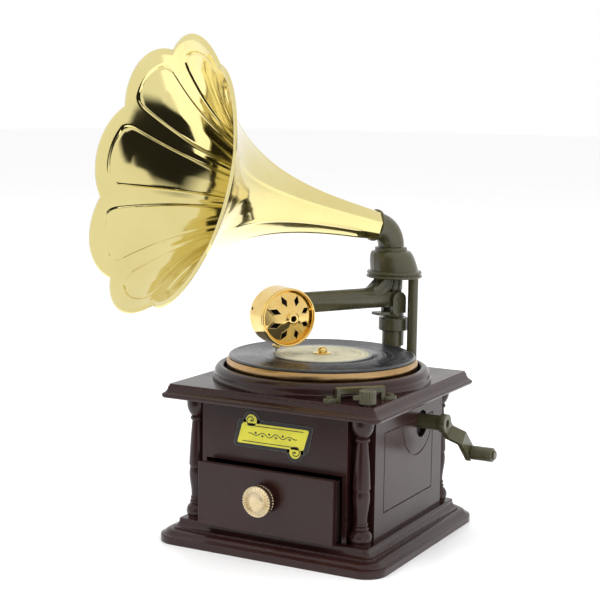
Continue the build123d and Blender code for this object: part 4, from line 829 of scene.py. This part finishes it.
def spiral(centre, turn, start_radius, end_radius, sweep, steps=40):
    """Spiral path; turn is its starting angle in degrees."""
    return [(centre[0] + r * math.cos(a), centre[1] + r * math.sin(a))
            for a, r in zip(np.radians(turn) + np.linspace(0, sweep, steps),
                            np.linspace(start_radius, end_radius, steps))]


layer("label_ground_plate", [slanted(19.2, 6.6, 2.0), *(disc(curl, 4.4) for curl in CURLS)],
      0.35, 0.02, "label_black", ["label_backing"], bevel=0.1)
layer("label_ribbon", [slanted(17.0, 4.8, 1.2), *(disc(curl, 2.8) for curl in CURLS)],
      0.22, 0.38, "label_yellow", ["label_scroll"])
ink_lines = []
for sign, curl, start_turn in ((1, CURLS[0], 250), (-1, CURLS[1], 70)):
    ink_lines.append(stripe(spiral(curl, start_turn, 2.75, 0.7, -1.55 * math.pi), 0.22))
    ink_lines.append(disc(curl, 0.55, 16))
    ink_lines.append(stripe([(sign * x, sign * 3.7) for x in (-13.2, 0, 15.6)], 0.2))
VINE_HALF, VINE_WAVE = 12.5, 0.9
vine = [(x, 0.95 * math.sin(x * VINE_WAVE) * (1 - (x / 13.5) ** 2))
        for x in np.linspace(-VINE_HALF, VINE_HALF, 70)]
ink_lines.append(stripe(vine, 0.2))
for x in (-8.7, -5.2, -1.75, 1.75, 5.2, 8.7):
    tip = -math.copysign(1.0, math.sin(x * VINE_WAVE))
    ink_lines.append([(x - 0.75, 0.5 * tip), (x, 0.0), (x + 0.75, 0.5 * tip), (x, 1.25 * tip)])
layer("label_lines", ink_lines, 0.03, 0.6, "label_black", material=ink, bevel=0.005)


# ---- the crank's grip and its rivet --------------------------------------------------------
CRANK_FALL, CRANK_REACH, CRANK_AXIS = math.radians(42), 25, (13.0, 56.0)
GRIP_START, GRIP = 64.5, 3.4
FACETS, FACET_DEEP = 12, 0.05


def faceted(radius, height, angles):
    """Very light moulding facets along the grip."""
    return radius - FACET_DEEP * (radius > 3) * (1 + np.cos(angles * FACETS)) / 2, height


def on_grip(start):
    """Frame along the grip's axis, from start in X."""
    centre = (Vector((0, *CRANK_AXIS))
              + Vector((0, math.cos(CRANK_FALL), -math.sin(CRANK_FALL))) * CRANK_REACH)
    return frame_at((start, centre.y, centre.z), (0, 1, 0), (1, 0, 0))


grip_profile = ([(1.45, 0.0), (2.9, 0.0)] + arc((2.9, 0.45), 0.45, -90, 0, 5)
                + [(3.35, 0.9), (GRIP, 2.2)]
                + flow([(GRIP, 2.2), (GRIP - 0.06, 5.4), (GRIP, 8.6)], 5) + [(3.35, 10.0)]
                + arc((2.85, 10.3), 0.5, 0, 90, 5) + [(1.45, 10.8)])
points, faces = skin(turned(grip_profile, 96, faceted), closed_along=True)
piece("grip_sleeve", points, faces, "grip", "olive", ["crank_grip"], on_grip(GRIP_START))

pin_profile = [(0.0, 0.0), (1.4, 0.0), (1.4, 11.3), (2.0, 11.3), (2.2, 11.5), (2.2, 11.8),
               (1.9, 12.05), (0.0, 12.1)]
points, faces = capped(turned(pin_profile, 48))
piece("grip_rivet", points, faces, "crank", "olive", ["grip_pin"], on_grip(GRIP_START - 0.3))


# ---- stage, light and camera ---------------------------------------------------------------
FLOOR_SIDE, FLOOR_FRONT, FLOOR_BACK = 6, -0.22, 9
floor_mesh = bpy.data.meshes.new("floor")
floor_mesh.from_pydata([(-FLOOR_SIDE, FLOOR_FRONT, 0), (FLOOR_SIDE, FLOOR_FRONT, 0),
                        (FLOOR_SIDE, FLOOR_BACK, 0), (-FLOOR_SIDE, FLOOR_BACK, 0)],
                       [], [(0, 1, 2, 3)])
floor = bpy.data.objects.new("floor", floor_mesh)
bpy.context.scene.collection.objects.link(floor)
floor.data.materials.append(finish_of("floor_paint", (0.955, 0.955, 0.96), (0.945, 0.945, 0.955),
                                      (0.95, 0.95, 0.95), (0.32, 0.38), patch=3, grain=40,
                                      relief=0.01))


def area_light(name, place, size, power):
    """Square soft box at place, in metres, pointing at the middle of the object."""
    data = bpy.data.lights.new(name, "AREA")
    data.shape = "SQUARE"
    data.size = size
    data.energy = power
    lamp = bpy.data.objects.new(name, data)
    lamp.location = place
    lamp.rotation_euler = (AIM - Vector(place)).to_track_quat("-Z", "Y").to_euler()
    lamp.visible_glossy = False
    bpy.context.scene.collection.objects.link(lamp)


AIM = Vector((0, 0, 0.1))
area_light("key", (-0.7, -0.9, 1.2), 0.9, 10)
area_light("fill", (1.3, -0.4, 0.8), 0.8, 8)
area_light("top", (0.1, 0.3, 1.6), 1.2, 8)

# white all round, with a dark zone in front of the object that only reflections and light meet
ROOM_WHITE, ROOM_DARK, ZONE_SLANT = (1.0, 1.0, 1.0), (0.02, 0.019, 0.018), 0.9
world = bpy.data.worlds.new("studio")
world.use_nodes = True
tree = world.node_tree
background = tree.nodes["Background"]
coords = tree.nodes.new("ShaderNodeTexCoord")
axes = tree.nodes.new("ShaderNodeSeparateXYZ")
link(tree, coords.outputs["Generated"], axes.inputs[0])
room_x, room_y, room_z = (axes.outputs[axis] for axis in "XYZ")
slanted_x = maths(tree, "SUBTRACT", room_x, maths(tree, "MULTIPLY", room_z, ZONE_SLANT))
rays = tree.nodes.new("ShaderNodeLightPath")
dark = maths(tree, "SUBTRACT", 1, rays.outputs["Is Camera Ray"])
for direction, low, high, at_low, at_high in (
        (slanted_x, -0.29, -0.23, 0, 1), (room_x, -0.56, -0.48, 0, 1), (room_x, 0.36, 0.55, 1, 0),
        (room_z, 0.28, 0.44, 1, 0), (room_y, -0.2, -0.45, 0, 1)):
    dark = maths(tree, "MULTIPLY", dark, spread(tree, direction, low, high, at_low, at_high))
link(tree, mix_colour(tree, dark, ROOM_WHITE, ROOM_DARK), background.inputs["Color"])
background.inputs["Strength"].default_value = 1.0
bpy.context.scene.world = world
bpy.context.scene.view_settings.view_transform = "Standard"

# the camera fitted to the plinth's and the lid's corners
CAMERA_PLACE, SENSOR, LENS = (0.3086, -0.5962, 0.2025), 36, 86.6028
azimuth, elevation, roll = (math.radians(v) for v in (28.29, 7.79, 0.79))
back = Vector((math.sin(azimuth) * math.cos(elevation), -math.cos(azimuth) * math.cos(elevation),
               math.sin(elevation)))
right = (-back).cross(Vector((0, 0, 1))).normalized()
up = right.cross(-back)
rolled_right = right * math.cos(roll) + up * math.sin(roll)
rolled_up = up * math.cos(roll) - right * math.sin(roll)
camera_data = bpy.data.cameras.new("camera")
camera_data.sensor_width = SENSOR
camera_data.lens = LENS
camera = bpy.data.objects.new("camera", camera_data)
camera.matrix_world = Matrix((rolled_right, rolled_up, back)).transposed().to_4x4()
camera.location = CAMERA_PLACE
bpy.context.scene.collection.objects.link(camera)
bpy.context.scene.camera = camera

bpy.context.view_layer.update()
